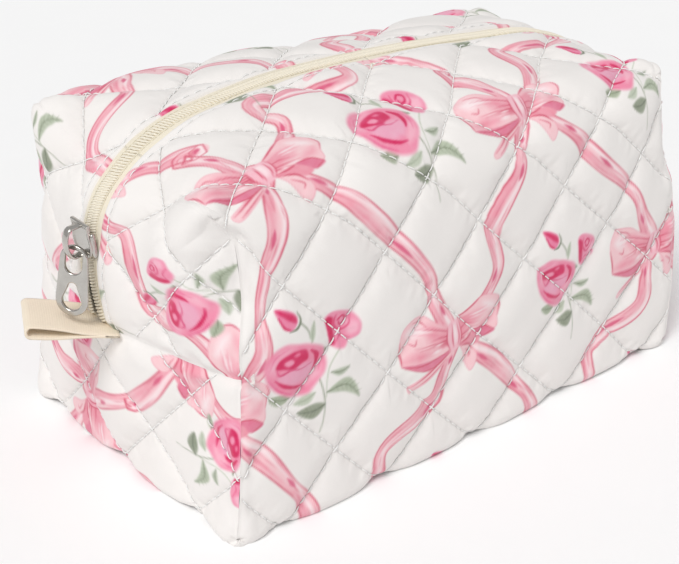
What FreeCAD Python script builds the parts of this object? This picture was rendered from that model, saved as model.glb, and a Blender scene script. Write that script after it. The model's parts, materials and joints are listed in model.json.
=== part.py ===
"""Quilted cotton make-up bag: a boxy zip pouch with boxed corners.

Millimetres. +Z is up and z = 0 is the surface the bag stands on. +X runs along the
bag's length, so the zip runs along X over the top and down both ends, and the slider
is at the -X end. The origin is the middle of the base.

The bag is one quilted sandwich (printed cotton, batting, lining) that wraps the front,
the bottom and the back and meets at the zip. Its walls are separate nodes, mitred at
the corner seams, and the two halves of the top are flaps that fold open.
"""
import FreeCAD
import Part
import math
import os

Vec = FreeCAD.Vector

# ---- driving dimensions ------------------------------------------------------------
LENGTH = 190.0            # base, along X
WIDTH = 115.0             # base, along Y
LEAN_HEIGHT = 100.0       # height at which the next four sizes are taken
CORNER_X = 89.5           # corner seam's x there
CORNER_Y = 51.0           # corner seam's y there
END_BULGE = 14.5          # how far an end's middle stands out from its corner seams
SIDE_BULGE = 3.2          # the same for the front and back
CROWN_TOP = 115.5         # highest point of the cloth, along the zip
CROWN_RADIUS = 620.0      # the zip line's curve along the top
END_REACH = 104.2         # furthest out that the ends go
ZIP_CORNER = 16.0         # bend of the zip from the top down to an end
ROOF_TOP = 117.5          # curve of the top across the bag, front to back
ROOF_RADIUS = 105.0
FOLD_RADIUS = 9.0         # fold between the top and the front or back
FOLD_OUT = 0.4            # the fold starts this far outside the bulged side

COTTON = 0.5              # printed outer cloth
BATTING = 2.6
LINING = 0.4
SANDWICH = COTTON + BATTING + LINING

FLAP_HALF = 76.0          # the opening flaps reach this far each way along X
HINGE_Z = 103.0           # height of the line that a flap folds about
FLAP_GAP = 0.2            # between a flap and the walls around it

SLOT_HALF = 5.7           # cloth's folded edges beside the zip
END_SEAM_Z = 54.0         # seam across each end, where the zip stops
TAPE_DEPTH = 0.5          # tape's face below the cloth's face
TAPE = 0.8
COIL_PROUD = 1.5
COIL_WIDE = 2.8
CHAIN_SHUT = 0.05         # half gap between the two coils where the zip is closed
CHAIN_OPEN = 1.1          # half gap where the slider's wedge passes

SLIDER_Z = 83.0           # middle of the slider
SLIDER_LONG = 12.5
SLIDER_WIDE = 10.2
PLATE = 1.1
PULLER_LONG = 22.5
PULLER_WIDE = 10.5
PULLER_THICK = 1.3
PULLER_TURN = 32.0        # degrees that the puller hangs turned towards the front
PULLER_LEAN = 8.0         # and leans out, with one edge against the slider

TAB_LONG = 24.0
TAB_WIDE = 19.0
RIBBON = 0.9
TAB_SKEW = 27.0           # degrees that a tab points towards the back
TAB_LIFT = 10.0           # and up
COIL_END_Z = END_SEAM_Z + 1.9   # the coil ends just above the tab

BINDING = 2.2             # cloth binding over the raw seams inside
BINDING_DEEP = 7.0
BINDING_SHORT = 5.0       # a corner strip stops this far from the base and the fold

FAR = 400.0               # larger than anything here


# ---- the bag's outer form, and the same form moved in by a distance -----------------
def corner(z):
    """Corner seam's x and y at height z, before any inset."""
    share = z / LEAN_HEIGHT
    x = LENGTH / 2 + (CORNER_X - LENGTH / 2) * share
    y = WIDTH / 2 + (CORNER_Y - WIDTH / 2) * share
    return x, y


def bulged_rectangle(z, inset):
    x, y = corner(z)
    x, y = x - inset, y - inset
    share = z / LEAN_HEIGHT
    corners = [Vec(-x, -y, z), Vec(x, -y, z), Vec(x, y, z), Vec(-x, y, z)]
    middles = [Vec(0, -y - SIDE_BULGE * share, z), Vec(x + END_BULGE * share, 0, z),
               Vec(0, y + SIDE_BULGE * share, z), Vec(-x - END_BULGE * share, 0, z)]
    edges = []
    for i in range(4):
        start, end = corners[i], corners[(i + 1) % 4]
        if share == 0:
            edges.append(Part.LineSegment(start, end).toShape())
        else:
            edges.append(Part.Arc(start, middles[i], end).toShape())
    return Part.Wire(edges)


def rounded_prism(half_low, half_high, rise, top, radius, fold, inset, along_y):
    """Prism whose outline has leaning sides, an arched top and rounded top corners.

    half_low and half_high are the outline's half widths at z = 0 and z = rise.
    """
    centre = top - radius
    arch = radius - inset
    low, z_side = half_low - inset, top
    for _ in range(20):
        high = half_low + (half_high - half_low) * z_side / rise - inset
        z_side = centre + math.sqrt(arch ** 2 - high ** 2)

    def point(across, z):
        return Vec(across, -FAR / 2, z) if along_y else Vec(-FAR / 2, across, z)

    edges = [Part.LineSegment(point(-low, inset), point(low, inset)).toShape(),
             Part.LineSegment(point(low, inset), point(high, z_side)).toShape(),
             Part.Arc(point(high, z_side), point(0, centre + arch), point(-high, z_side)).toShape(),
             Part.LineSegment(point(-high, z_side), point(-low, inset)).toShape()]
    direction = Vec(0, FAR, 0) if along_y else Vec(FAR, 0, 0)
    solid = Part.Face(Part.Wire(edges)).extrude(direction)
    tops = [e for e in solid.Edges
            if e.BoundBox.DiagonalLength > 0.9 * FAR and e.BoundBox.ZMin > z_side - 1]
    return solid.makeFillet(fold - inset, tops)


def envelope(inset):
    """The bag's whole outer form, with every face moved in by inset."""
    base = Part.makeLoft([bulged_rectangle(0, inset),
                          bulged_rectangle(LEAN_HEIGHT * 1.25, inset)], True, True)
    below = Part.makeBox(FAR, FAR, FAR, Vec(-FAR / 2, -FAR / 2, -FAR + 1))
    along = rounded_prism(END_REACH, END_REACH, LEAN_HEIGHT, CROWN_TOP, CROWN_RADIUS,
                          ZIP_CORNER, inset, True)
    side_high = CORNER_Y + SIDE_BULGE + FOLD_OUT
    across = rounded_prism(WIDTH / 2 + FOLD_OUT, side_high, LEAN_HEIGHT, ROOF_TOP,
                           ROOF_RADIUS, FOLD_RADIUS, inset, False)
    body = base.common(along).common(across)
    return body if inset >= 0 else body.cut(below)


FORMS = {}


def form(inset):
    if inset not in FORMS:
        FORMS[inset] = envelope(inset)
    return FORMS[inset]


def layer(outer, inner):
    return form(outer).cut(form(inner))


# ---- regions that split a layer into its walls --------------------------------------
def hexahedron(near_face, far_face):
    """Solid between two four-cornered faces, given in the same order round."""
    a, b = near_face, far_face
    loops = [a, b] + [[a[i], a[(i + 1) % 4], b[(i + 1) % 4], b[i]] for i in range(4)]
    faces = [Part.Face(Part.makePolygon(loop + loop[:1])) for loop in loops]
    return Part.Solid(Part.makeShell(faces))


def mitre_point(sign_x, sign_y, z, depth):
    x, y = corner(z)
    return Vec(sign_x * (x - depth), sign_y * (y - depth), z)


DEPTHS = (-32.0, 30.0)    # from outside the bag to well inside it


def front_region():
    rings = [[mitre_point(-1, -1, d, d), mitre_point(1, -1, d, d),
              mitre_point(1, -1, HINGE_Z, d), mitre_point(-1, -1, HINGE_Z, d)]
             for d in DEPTHS]
    return hexahedron(*rings)


def near_end_region():
    rings = [[mitre_point(-1, -1, d, d), mitre_point(-1, 1, d, d),
              mitre_point(-1, 1, HINGE_Z, d), mitre_point(-1, -1, HINGE_Z, d)]
             for d in DEPTHS]
    return hexahedron(*rings)


def bottom_region():
    rings = [[mitre_point(-1, -1, d, d), mitre_point(1, -1, d, d),
              mitre_point(1, 1, d, d), mitre_point(-1, 1, d, d)] for d in DEPTHS]
    return hexahedron(*rings)


def box(x0, x1, y0, y1, z0, z1):
    return Part.makeBox(x1 - x0, y1 - y0, z1 - z0, Vec(x0, y0, z0))


def mirrored_x(shape):
    return shape.mirror(Vec(0, 0, 0), Vec(1, 0, 0))


def mirrored_y(shape):
    return shape.mirror(Vec(0, 0, 0), Vec(0, 1, 0))


def zip_slot():
    return box(-FAR / 2, FAR / 2, -SLOT_HALF, SLOT_HALF, END_SEAM_Z, FAR / 2)


def wall_nodes(prefix, outer, inner):
    """One cloth layer as its five walls and its two flaps."""
    cloth = layer(outer, inner)
    front = cloth.common(front_region())
    end_low = cloth.common(near_end_region())
    end_top = cloth.common(box(-FAR / 2, -FLAP_HALF, -FAR / 2, FAR / 2, HINGE_Z, FAR / 2))
    near_end = end_low.fuse(end_top).removeSplitter().cut(zip_slot())
    flap = cloth.common(box(-FLAP_HALF + FLAP_GAP, FLAP_HALF - FLAP_GAP,
                            -FAR / 2, -SLOT_HALF, HINGE_Z + FLAP_GAP / 2, FAR / 2))
    return {
        prefix + "_front": front,
        prefix + "_back": mirrored_y(front),
        prefix + "_bottom": cloth.common(bottom_region()),
        prefix + "_near_end": near_end,
        prefix + "_far_end": mirrored_x(near_end),
        prefix + "_front_flap": flap,
        prefix + "_back_flap": mirrored_y(flap),
    }


# ---- zip ----------------------------------------------------------------------------
def zip_strip(outer, inner, half_gap, half_reach, x0, x1, low):
    """Front half of a tape or coil, over the stretch between x0 and x1 and above low."""
    strip = layer(outer, inner)
    room = box(x0, x1, -half_reach, -half_gap, low, FAR / 2)
    return strip.common(room)


def zip_nodes():
    stretches = {
        "near": (CHAIN_OPEN, -FAR / 2, -FLAP_HALF),
        "flap": (CHAIN_SHUT, -FLAP_HALF + FLAP_GAP, FLAP_HALF - FLAP_GAP),
        "far": (CHAIN_SHUT, FLAP_HALF, FAR / 2),
    }
    nodes = {}
    for stretch, (gap, x0, x1) in stretches.items():
        tape = zip_strip(TAPE_DEPTH, TAPE_DEPTH + TAPE, gap, SLOT_HALF, x0, x1, END_SEAM_Z)
        coil = zip_strip(-COIL_PROUD, TAPE_DEPTH, gap, gap + COIL_WIDE, x0, x1, COIL_END_Z)
        for name, strip in (("tape", tape), ("coil", coil)):
            nodes[f"zip_{name}_front_{stretch}"] = strip
            nodes[f"zip_{name}_back_{stretch}"] = mirrored_y(strip)
    return nodes


# ---- slider and puller, made flat and then stood on the near end ---------------------
def end_lean():
    """Lean of the near end's middle line from upright, in degrees."""
    out = CORNER_X + END_BULGE - LENGTH / 2
    return math.degrees(math.atan2(out, LEAN_HEIGHT))


def on_near_end(shape):
    """Takes a shape made with +Z along the zip and -X outward to its place."""
    shape = shape.copy()
    share = SLIDER_Z / LEAN_HEIGHT
    x = -LENGTH / 2 - (CORNER_X + END_BULGE - LENGTH / 2) * share
    shape.rotate(Vec(0, 0, 0), Vec(0, 1, 0), -end_lean())
    shape.translate(Vec(x, 0, SLIDER_Z))
    return shape


SLIDER_CLEAR = 0.3
PLATE_BASE = COIL_PROUD + SLIDER_CLEAR      # slider's outer plate stands this far off
PLATE_NARROW = 0.74                         # width of the plate's upper end, as a share
PLATE_CORNER = 0.9
FLANGE = 0.8                                # walls down the slider's two sides
FLANGE_START = 1.0                          # above the slider's lower end
TAPE_ROOM = 0.25                            # between a flange and the tape
WEDGE_START, WEDGE_END = 0.6, 3.4           # wedge, above the slider's lower end
WEDGE_CLEAR = 0.3

BRIDGE_WIDE = 2.8
BRIDGE_THICK = 1.2
BRIDGE_HIGH = 6.0                           # above the outer plate
BRIDGE_REACH = 5.3                          # each way from its middle
BRIDGE_UP = 0.6                             # its middle, up from the slider's
BRIDGE_KNEE = 0.55                          # share of its height where it starts to arch
PIVOT_OUT = PLATE_BASE + PLATE + 2.4        # puller's pivot, out from the cloth
PIVOT_UP = -1.2                             # and up from the slider's middle


def slider_plate(outer_face, thick):
    """Flat plate, wide at its lower end and narrower at its upper end."""
    half, low, high = SLIDER_WIDE / 2, -SLIDER_LONG / 2, SLIDER_LONG / 2
    narrow = half * PLATE_NARROW
    outline = [Vec(outer_face, -half, low), Vec(outer_face, half, low),
               Vec(outer_face, half, 0), Vec(outer_face, narrow, high),
               Vec(outer_face, -narrow, high), Vec(outer_face, -half, 0)]
    face = Part.Face(Part.makePolygon(outline + outline[:1]))
    solid = face.extrude(Vec(thick, 0, 0))
    upright = [e for e in solid.Edges if e.BoundBox.XLength > 0.9 * thick]
    return solid.makeFillet(PLATE_CORNER, upright)


def slider_body():
    half, low = SLIDER_WIDE / 2, -SLIDER_LONG / 2
    top_plate = slider_plate(-PLATE_BASE - PLATE, PLATE)
    under_face = TAPE_DEPTH + TAPE + SLIDER_CLEAR
    under_plate = slider_plate(under_face, PLATE)
    mid_plate = -PLATE_BASE - PLATE / 2
    flange = box(mid_plate, TAPE_DEPTH - TAPE_ROOM, -half, -half + FLANGE,
                 low + FLANGE_START, 0.0)
    wedge_half = CHAIN_OPEN - WEDGE_CLEAR
    wedge = box(mid_plate, under_face + PLATE / 2, -wedge_half, wedge_half,
                low + WEDGE_START, low + WEDGE_END)
    return top_plate.fuse([under_plate, flange, mirrored_y(flange), wedge]).removeSplitter()


def slider_bridge():
    """Arched loop on the slider that the puller hangs from."""
    base = -PLATE_BASE - PLATE

    def arch(reach, rise):
        low, high = Vec(base, 0, BRIDGE_UP - reach), Vec(base, 0, BRIDGE_UP + reach)
        knee = Vec(-rise * BRIDGE_KNEE, 0, 0)
        top = Part.Arc(low + knee, Vec(base - rise, 0, BRIDGE_UP), high + knee)
        edges = [Part.LineSegment(high, low).toShape(),
                 Part.LineSegment(low, low + knee).toShape(), top.toShape(),
                 Part.LineSegment(high + knee, high).toShape()]
        face = Part.Face(Part.Wire(edges))
        face.translate(Vec(0, -BRIDGE_WIDE / 2, 0))
        return face.extrude(Vec(0, BRIDGE_WIDE, 0))

    opening = arch(BRIDGE_REACH - BRIDGE_THICK, BRIDGE_HIGH - BRIDGE_THICK)
    return arch(BRIDGE_REACH, BRIDGE_HIGH).cut(opening)


def rounded_plate(half_top, half_low, top, low, thick):
    """Plate in the YZ plane with round ends, centred on x = 0."""
    def end(z, half, way):
        return Part.Arc(Vec(0, half * way, z), Vec(0, 0, z + half * way),
                        Vec(0, -half * way, z)).toShape()

    z_top, z_low = top - half_top, low + half_low
    edges = [end(z_top, half_top, 1),
             Part.LineSegment(Vec(0, -half_top, z_top), Vec(0, -half_low, z_low)).toShape(),
             end(z_low, half_low, -1),
             Part.LineSegment(Vec(0, half_low, z_low), Vec(0, half_top, z_top)).toShape()]
    face = Part.Face(Part.Wire(edges))
    face.translate(Vec(-thick / 2, 0, 0))
    return face.extrude(Vec(thick, 0, 0))


def pivot():
    """The puller's hinge point, in the bag's frame."""
    marker = Part.Vertex(Vec(-PIVOT_OUT, 0, PIVOT_UP))
    return on_near_end(marker).Point


BAR = 1.5                                   # puller's top bar, under the bridge
PULLER_TOP = 4.5                            # half width of the puller's upper end
EYE_HALF, EYE_LONG, EYE_CORNER = 2.8, 7.6, 1.1   # upper hole, with a nearly flat top
DROP_TOP, DROP_LOW = 1.6, 3.2               # lower hole's half widths
DROP_START, DROP_END = 10.6, 1.9            # and its ends, above the puller's lower end


def puller():
    top = BAR / 2
    low = top - PULLER_LONG
    plate = rounded_plate(PULLER_TOP, PULLER_WIDE / 2, top, low, PULLER_THICK)
    deep = 3 * PULLER_THICK
    eye_top = top - BAR
    eye_low = rounded_plate(EYE_HALF, EYE_HALF, eye_top, eye_top - EYE_LONG, deep)
    eye = box(-deep / 2, deep / 2, -EYE_HALF, EYE_HALF, eye_top - EYE_LONG / 2, eye_top)
    corners = [e for e in eye.Edges
               if e.BoundBox.XLength > 0.9 * deep and e.BoundBox.ZMin > eye_top - 1]
    eye = eye.makeFillet(EYE_CORNER, corners)
    drop = rounded_plate(DROP_TOP, DROP_LOW, low + DROP_START, low + DROP_END, deep)
    shape = plate.cut([eye_low, eye, drop])
    shape.rotate(Vec(0, 0, 0), Vec(0, 0, 1), PULLER_TURN)
    shape.rotate(Vec(0, 0, 0), Vec(0, 1, 0), PULLER_LEAN)
    shape.translate(pivot())
    return shape


# ---- ribbon tabs ----------------------------------------------------------------------
TAB_LOOP = 1.9                              # half height of the tab's round outer loop
TAB_MOUTH = 0.1                             # half gap between its two plies at the seam


def near_tab():
    """Folded ribbon, sewn into the near end's seam by both its ends."""
    inner_x = -LENGTH / 2
    seam_x = inner_x - (END_REACH - LENGTH / 2) * END_SEAM_Z / LEAN_HEIGHT
    tip_x = seam_x - TAB_LONG

    def lens(half, tip, mouth):
        """Teardrop: a thin mouth at the seam that swells to a round loop."""
        centre_x = tip + half
        return Part.Face(Part.Wire([
            Part.LineSegment(Vec(inner_x, 0, mouth), Vec(inner_x, 0, -mouth)).toShape(),
            Part.LineSegment(Vec(inner_x, 0, -mouth), Vec(centre_x, 0, -half)).toShape(),
            Part.Arc(Vec(centre_x, 0, -half), Vec(tip, 0, 0), Vec(centre_x, 0, half)).toShape(),
            Part.LineSegment(Vec(centre_x, 0, half), Vec(inner_x, 0, mouth)).toShape(),
        ]))

    outer = lens(TAB_LOOP, tip_x, RIBBON + TAB_MOUTH)
    inner = lens(TAB_LOOP - RIBBON, tip_x + RIBBON, TAB_MOUTH)
    ribbon = outer.cut(inner)
    ribbon.translate(Vec(0, -TAB_WIDE / 2, END_SEAM_Z))
    ribbon = ribbon.extrude(Vec(0, TAB_WIDE, 0))
    seam = Vec(seam_x, 0, END_SEAM_Z)
    ribbon.rotate(seam, Vec(0, 1, 0), TAB_LIFT)
    ribbon.rotate(seam, Vec(0, 0, 1), -TAB_SKEW)
    return ribbon.cut(form(0))


# ---- bindings over the raw seams inside ------------------------------------------------
def end_binding():
    """Strip along the near end's cross seam, inside the bag."""
    inner = form(SANDWICH)
    y = corner(END_SEAM_Z)[1]
    reach = y - SANDWICH - 1.5 * BINDING_DEEP
    strip = box(-FAR / 2, 0, -reach, reach, END_SEAM_Z - BINDING, END_SEAM_Z)
    beyond = inner.copy()
    beyond.translate(Vec(BINDING_DEEP, 0, 0))
    return strip.common(inner).cut(beyond)


def corner_binding():
    """Strip up the near front corner seam, inside the bag."""
    half = BINDING / 2
    side = Vec(half, -half, 0)

    def ring(z):
        x, y = corner(z)
        start = SANDWICH
        outer = Vec(-x + start, -y + start, z)
        inner = outer + Vec(BINDING_DEEP, BINDING_DEEP, 0) * (1 / math.sqrt(2))
        return [outer - side, outer + side, inner + side, inner - side]

    z_low, z_high = SANDWICH + BINDING_SHORT, HINGE_Z - BINDING_SHORT
    return hexahedron(ring(z_low), ring(z_high)).common(form(SANDWICH))


# ---- all nodes --------------------------------------------------------------------------
def all_nodes():
    nodes = {}
    nodes.update(wall_nodes("outer", 0, COTTON))
    nodes.update(wall_nodes("batting", COTTON, COTTON + BATTING))
    nodes.update(wall_nodes("lining", COTTON + BATTING, SANDWICH))
    nodes.update(zip_nodes())
    nodes["zip_slider"] = on_near_end(slider_body())
    nodes["slider_bridge"] = on_near_end(slider_bridge())
    nodes["puller"] = puller()
    tab = near_tab()
    nodes["near_tab"] = tab
    nodes["far_tab"] = mirrored_x(tab)
    strip = end_binding()
    nodes["binding_near_end"] = strip
    nodes["binding_far_end"] = mirrored_x(strip)
    edge = corner_binding()
    nodes["binding_near_front"] = edge
    nodes["binding_near_back"] = mirrored_y(edge)
    nodes["binding_far_front"] = mirrored_x(edge)
    nodes["binding_far_back"] = mirrored_x(mirrored_y(edge))
    return nodes


os.makedirs("parts", exist_ok=True)
for node_name, node_shape in all_nodes().items():
    node_shape.exportStep(f"parts/{node_name}.step")
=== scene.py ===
"""Quilted cotton make-up bag with a printed pattern of roses, bows and ribbons.

Lengths are millimetres until a mesh is made. The cloth is laid out flat in (s, t): s runs
along the bag from the near end, t runs up the front from the front bottom edge, over the
top to the zip, and, below zero, across the bottom and up the back.
"""
import bpy
import bmesh
import json
import math
import numpy as np
from mathutils import Matrix, Vector


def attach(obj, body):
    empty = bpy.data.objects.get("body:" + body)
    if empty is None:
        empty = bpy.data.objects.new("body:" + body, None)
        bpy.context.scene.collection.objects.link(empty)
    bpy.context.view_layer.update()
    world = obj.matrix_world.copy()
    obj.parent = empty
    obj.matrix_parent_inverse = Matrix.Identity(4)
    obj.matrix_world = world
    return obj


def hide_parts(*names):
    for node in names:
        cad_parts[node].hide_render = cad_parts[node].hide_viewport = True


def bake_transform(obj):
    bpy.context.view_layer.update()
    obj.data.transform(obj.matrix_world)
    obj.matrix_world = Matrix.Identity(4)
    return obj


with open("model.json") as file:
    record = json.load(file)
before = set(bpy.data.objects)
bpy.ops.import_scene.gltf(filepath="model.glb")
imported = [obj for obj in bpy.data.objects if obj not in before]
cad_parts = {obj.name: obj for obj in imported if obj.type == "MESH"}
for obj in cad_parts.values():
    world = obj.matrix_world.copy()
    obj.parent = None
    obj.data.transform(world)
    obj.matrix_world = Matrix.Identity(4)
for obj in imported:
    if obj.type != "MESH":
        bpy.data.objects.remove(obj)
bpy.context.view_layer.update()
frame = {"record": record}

MM = 0.001

# ---- sizes, as the CAD frame has them
LENGTH, WIDTH, HEIGHT = 190.0, 115.0, 105.0
HALF_L, HALF_W = LENGTH / 2, WIDTH / 2
END_SEAM = 53.0             # before the crown's lift, which takes it to 54
SLOT = 4.7                  # cloth's edge to the zip's middle line
FOLD_R = 15.0               # fold between the top and the front or back
HEM_R = 4.0                 # folds round the base
ZIP_R = 31.0                # bend of the top down to an end, at the zip
EAR_R = 5.0                 # the same beside the corner seams
TOPSTITCH = 3.2             # topstitching, in from the cloth's edges at the zip
PUFF = 2.5                  # quilted cells' height over their stitch lines
REST_CLEARANCE = 0.05       # the base's puffs are pressed flat on what the bag stands on
CLOTH_THICK = 3.3           # outer cloth to lining
QUILT_PITCH = 39.3
QUILT_RISE, QUILT_FALL = 95.0, 18.5    # where one line of each family crosses t = 0
END_BULGE, SIDE_BULGE = 15.2, 3.4      # swell of an end and of a long side, at their middles
TOP_LEAN = 6.6              # how far each long side leans in, 100 mm up
CROWN_RISE, CROWN_S = 10.8, 66         # the top's highest point, and where along s it is
CROWN_NEAR, CROWN_FAR = 0.0027, 0.00074     # how fast the crown falls to either side of it
NEAR_LEAN, NEAR_LEAN_Z = 6.4, 77       # how far the near corner seams lean in, and how high up
PINCH_DEPTH, PINCH_REACH = 6.4, 8.0    # caved-in upper corner
CHEEK_PUFF, CHEEK_Y, CHEEK_Z = 5.0, 40, 80  # puffed part of an end beside that corner
OTHER_CORNERS = 0.35        # how deep the other three upper corners cave in, to the near front one
OTHER_CHEEKS = 0.4
FLAP_FROM, FLAP_TO = 84.0, 8.0         # |x| where a flap starts to lift, and lifts fully

ARM_TOP = HEIGHT - END_SEAM
ARM_LOW = END_SEAM
FLAP_S = HALF_L - FLAP_FROM
T_TOP = HEIGHT + HALF_W - SLOT
T_BACK_EDGE = -WIDTH
T_BACK_TOP = -WIDTH - HEIGHT
T_LAST = T_BACK_TOP - HALF_W + SLOT


# ---- small numeric helpers
def smooth(a):
    a = np.clip(a, 0, 1)
    return a * a * (3 - 2 * a)


def bell(d, width):
    return np.exp(-(d / width) ** 2)


class Noise:
    """Smooth repeatable noise in three dimensions, about -1 to 1."""

    def __init__(self, seed, size=24):
        self.grid = np.random.default_rng(seed).uniform(-1, 1, (size, size, size))
        self.size = size

    def __call__(self, points, scale):
        p = np.asarray(points) / scale + 100.0
        low = np.floor(p).astype(int)
        f = p - low
        f = f * f * (3 - 2 * f)
        total = 0.0
        for corner in np.ndindex(2, 2, 2):
            index = (low + corner) % self.size
            weight = np.prod(np.where(np.array(corner) == 1, f, 1 - f), axis=-1)
            total = total + weight * self.grid[index[..., 0], index[..., 1], index[..., 2]]
        return total


NOISE = Noise(3)


# ---- the bag's form: a sharp box, its folds rounded, then bulged and leaned
def round_fold(a, b, r):
    """Rounds the corner where two walls meet; a and b are the distances in from them."""
    inner = np.minimum(a, b)
    radius = np.maximum(r - inner, 1e-6)
    near = (a < r) & (b < r)
    share = np.clip(np.maximum(a, b) - inner, 0, radius) / radius
    angle = np.where(a <= b, 1 - share, 1 + share) * math.pi / 4
    a_new = inner + radius * (1 - np.cos(angle))
    b_new = inner + radius * (1 - np.sin(angle))
    return np.where(near, a_new, a), np.where(near, b_new, b)


def crown(x, y):
    """Rise of the top over the box's height."""
    s = x + HALF_L
    along = CROWN_RISE - np.where(s < CROWN_S, CROWN_NEAR, CROWN_FAR) * (s - CROWN_S) ** 2
    across = 1 - (np.abs(y) / HALF_W) ** 1.7
    return np.maximum(along, 2.5) * across - 1.8 * x / HALF_L


def corner_inset(x, z):
    """How far the corner seams lean in along x: at the near end, most at two thirds height."""
    below = NEAR_LEAN * (1 - ((z - NEAR_LEAN_Z) / NEAR_LEAN_Z) ** 2)
    above = NEAR_LEAN - 3.6 * ((z - NEAR_LEAN_Z) / (HEIGHT - NEAR_LEAN_Z)) ** 2
    near = np.where(z < NEAR_LEAN_Z, below, above)
    far = 3.4 * smooth((z - 45) / 60) - 3.2 * np.sin(np.clip(z / 70, 0, 1) * math.pi)
    return np.where(x < 0, near, far)


def back_fold_lift(x, y):
    """The top's back fold stands up near the slider's end and sinks towards the far end."""
    along = 4.2 * (1 - smooth((x + HALF_L) / 60)) - 4.6 * smooth((x + 45) / 85)
    return along * smooth(y / 48)


def zip_sway(x, y, z):
    """Below the slider the zip wanders to the back."""
    down = np.clip((80 - z) / (80 - END_SEAM), 0, 1)
    return 2.4 * np.sin(down * math.pi) * (1 - np.abs(y) / HALF_W) ** 2 * (x < -HALF_L + 20)


def bag_form(x, y, z):
    """Takes points of the sharp box to the soft bag."""
    to_middle = 1 - np.clip(np.abs(y) / HALF_W, 0, 1)
    zip_radius = EAR_R + (ZIP_R - EAR_R) * smooth(to_middle * 1.5)
    side, top = HALF_W - np.abs(y), HEIGHT - z
    side, top = round_fold(side, top, FOLD_R)
    side, low = round_fold(side, HEIGHT - top, HEM_R)
    end, top = round_fold(HALF_L - np.abs(x), HEIGHT - low, zip_radius)
    end, low = round_fold(end, HEIGHT - top, HEM_R)
    x = np.sign(x) * (HALF_L - end)
    y = np.sign(y) * (HALF_W - side)
    z = low

    height = np.clip(z / HEIGHT, 0, 1)
    ends = smooth((np.abs(x) / HALF_L - 0.55) / 0.45)
    soft = 7.0              # rounds the tent's ridge
    tent = 1 - (np.sqrt(y ** 2 + soft ** 2) - soft) / (math.hypot(HALF_W, soft) - soft)
    end_bulge = END_BULGE * np.sin(np.clip(z / 84, 0, 1) * math.pi / 2) * tent
    x_new = x * (1 - corner_inset(x, z) / HALF_L) + np.sign(x) * ends * end_bulge
    sides = smooth((np.abs(y) / HALF_W - 0.4) / 0.6)
    side_bulge = SIDE_BULGE * (1 - (x / HALF_L) ** 2) * np.sin(height * math.pi * 0.8)
    y_new = y * (1 - TOP_LEAN / HALF_W * z / 100) + np.sign(y) * sides * side_bulge
    y_new = y_new + zip_sway(x, y, z)
    z_new = z + height ** 3 * crown(x, y) + height ** 6 * back_fold_lift(x, y)
    return x_new, y_new, z_new


def sharp_point(s, t):
    """Point of the sharp box that a point of the flat cloth lies on."""
    over = np.where(s < 0, -s, np.where(s > LENGTH, s - LENGTH, 0))
    x = np.clip(s, 0, LENGTH) - HALF_L
    y = np.select([t > HEIGHT, t >= 0, t >= T_BACK_EDGE, t >= T_BACK_TOP],
                  [-HALF_W + t - HEIGHT, -HALF_W + 0 * t, -HALF_W - t, HALF_W + 0 * t],
                  HALF_W - (T_BACK_TOP - t))
    z = np.select([t > HEIGHT, t >= 0, t >= T_BACK_EDGE, t >= T_BACK_TOP],
                  [HEIGHT + 0 * t, t, 0 * t, T_BACK_EDGE - t], HEIGHT + 0 * t)
    lower_arm = (t <= 0) & (t >= T_BACK_EDGE)
    z = z + np.where(lower_arm, over, -over)
    return x, y, z


def soft_pinch(x, y, z, near_corner):
    """Upper corners caved in where the quilting folds over, the near front one most."""
    share = np.where((x < 0) & (y < 0), 1.0, OTHER_CORNERS)
    tall = smooth((z - 60) / 16) * (1 - 0.75 * smooth((z - 94) / 11))
    return PINCH_DEPTH * share * tall * bell(near_corner, PINCH_REACH)


def cheek(x, y, z):
    """Puffed part of an end beside its caved-in corner."""
    share = np.where((x < 0) & (y < 0), 1.0, OTHER_CHEEKS)
    return CHEEK_PUFF * share * bell(np.abs(y) - CHEEK_Y, 11) * bell(z - CHEEK_Z, 20)


def base_points(s, t):
    x, y, z = sharp_point(s, t)
    near_corner = np.minimum(HALF_L - np.abs(x), 99) + np.minimum(HALF_W - np.abs(y), 99)
    corner_pull = 1.1 * bell(near_corner, 2.2)
    on_end = np.abs(np.abs(x) - HALF_L) < 1e-6
    seam_pull = 1.3 * bell(z - END_SEAM, 2.0) * on_end
    px, py, pz = bag_form(x, y, z)
    px = px - np.sign(x) * (corner_pull * 0.7 + seam_pull)
    py = py - np.sign(y) * corner_pull * 0.7
    pinch = soft_pinch(x, y, z, near_corner)
    px = px - np.sign(x) * pinch * 0.75
    py = py - np.sign(y) * pinch * 0.6
    px = px + np.sign(x) * on_end * cheek(x, y, z)
    return np.stack([px, py, pz], -1)


# ---- quilting
STEP = 0.45      # grid of the outer cloth
STITCH, STITCH_GAP = 2.7, 0.8
THREAD_R = 0.24
PUCKER, SEAM_PUCKER = 0.34, 0.5         # small creases beside the quilting and beside the seams
WAVE, SMALL_WAVE = 0.9, 0.35            # unevenness of the whole cloth
STITCH_STEP = (STITCH + STITCH_GAP) / math.sqrt(2)      # along s, on a quilting line


def in_cloth(s, t):
    """Where the outer cloth has room for a stitch."""
    core = (s > 0.5) & (s < LENGTH - 0.5)
    upper = ((t > HEIGHT) | (t < T_BACK_TOP)) & (s > 1 - ARM_TOP) & (s < LENGTH + ARM_TOP - 1)
    lower = (t < 0) & (t > T_BACK_EDGE) & (s > 1 - ARM_LOW) & (s < LENGTH + ARM_LOW - 1)
    return (core | upper | lower) & (t < T_TOP - 3) & (t > T_LAST + 3)


def quilt_phase(s, t):
    return (s + t - QUILT_RISE) / QUILT_PITCH, (s - t - QUILT_FALL) / QUILT_PITCH


def quilt_swell(s, t, steepness):
    """Closeness to each family's lines, 0 on them, and the puff of the cells between."""
    a, b = [np.abs(np.sin(phase * math.pi)) for phase in quilt_phase(s, t)]
    return a, b, (1 - (1 - a) ** steepness) * (1 - (1 - b) ** steepness)


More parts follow.
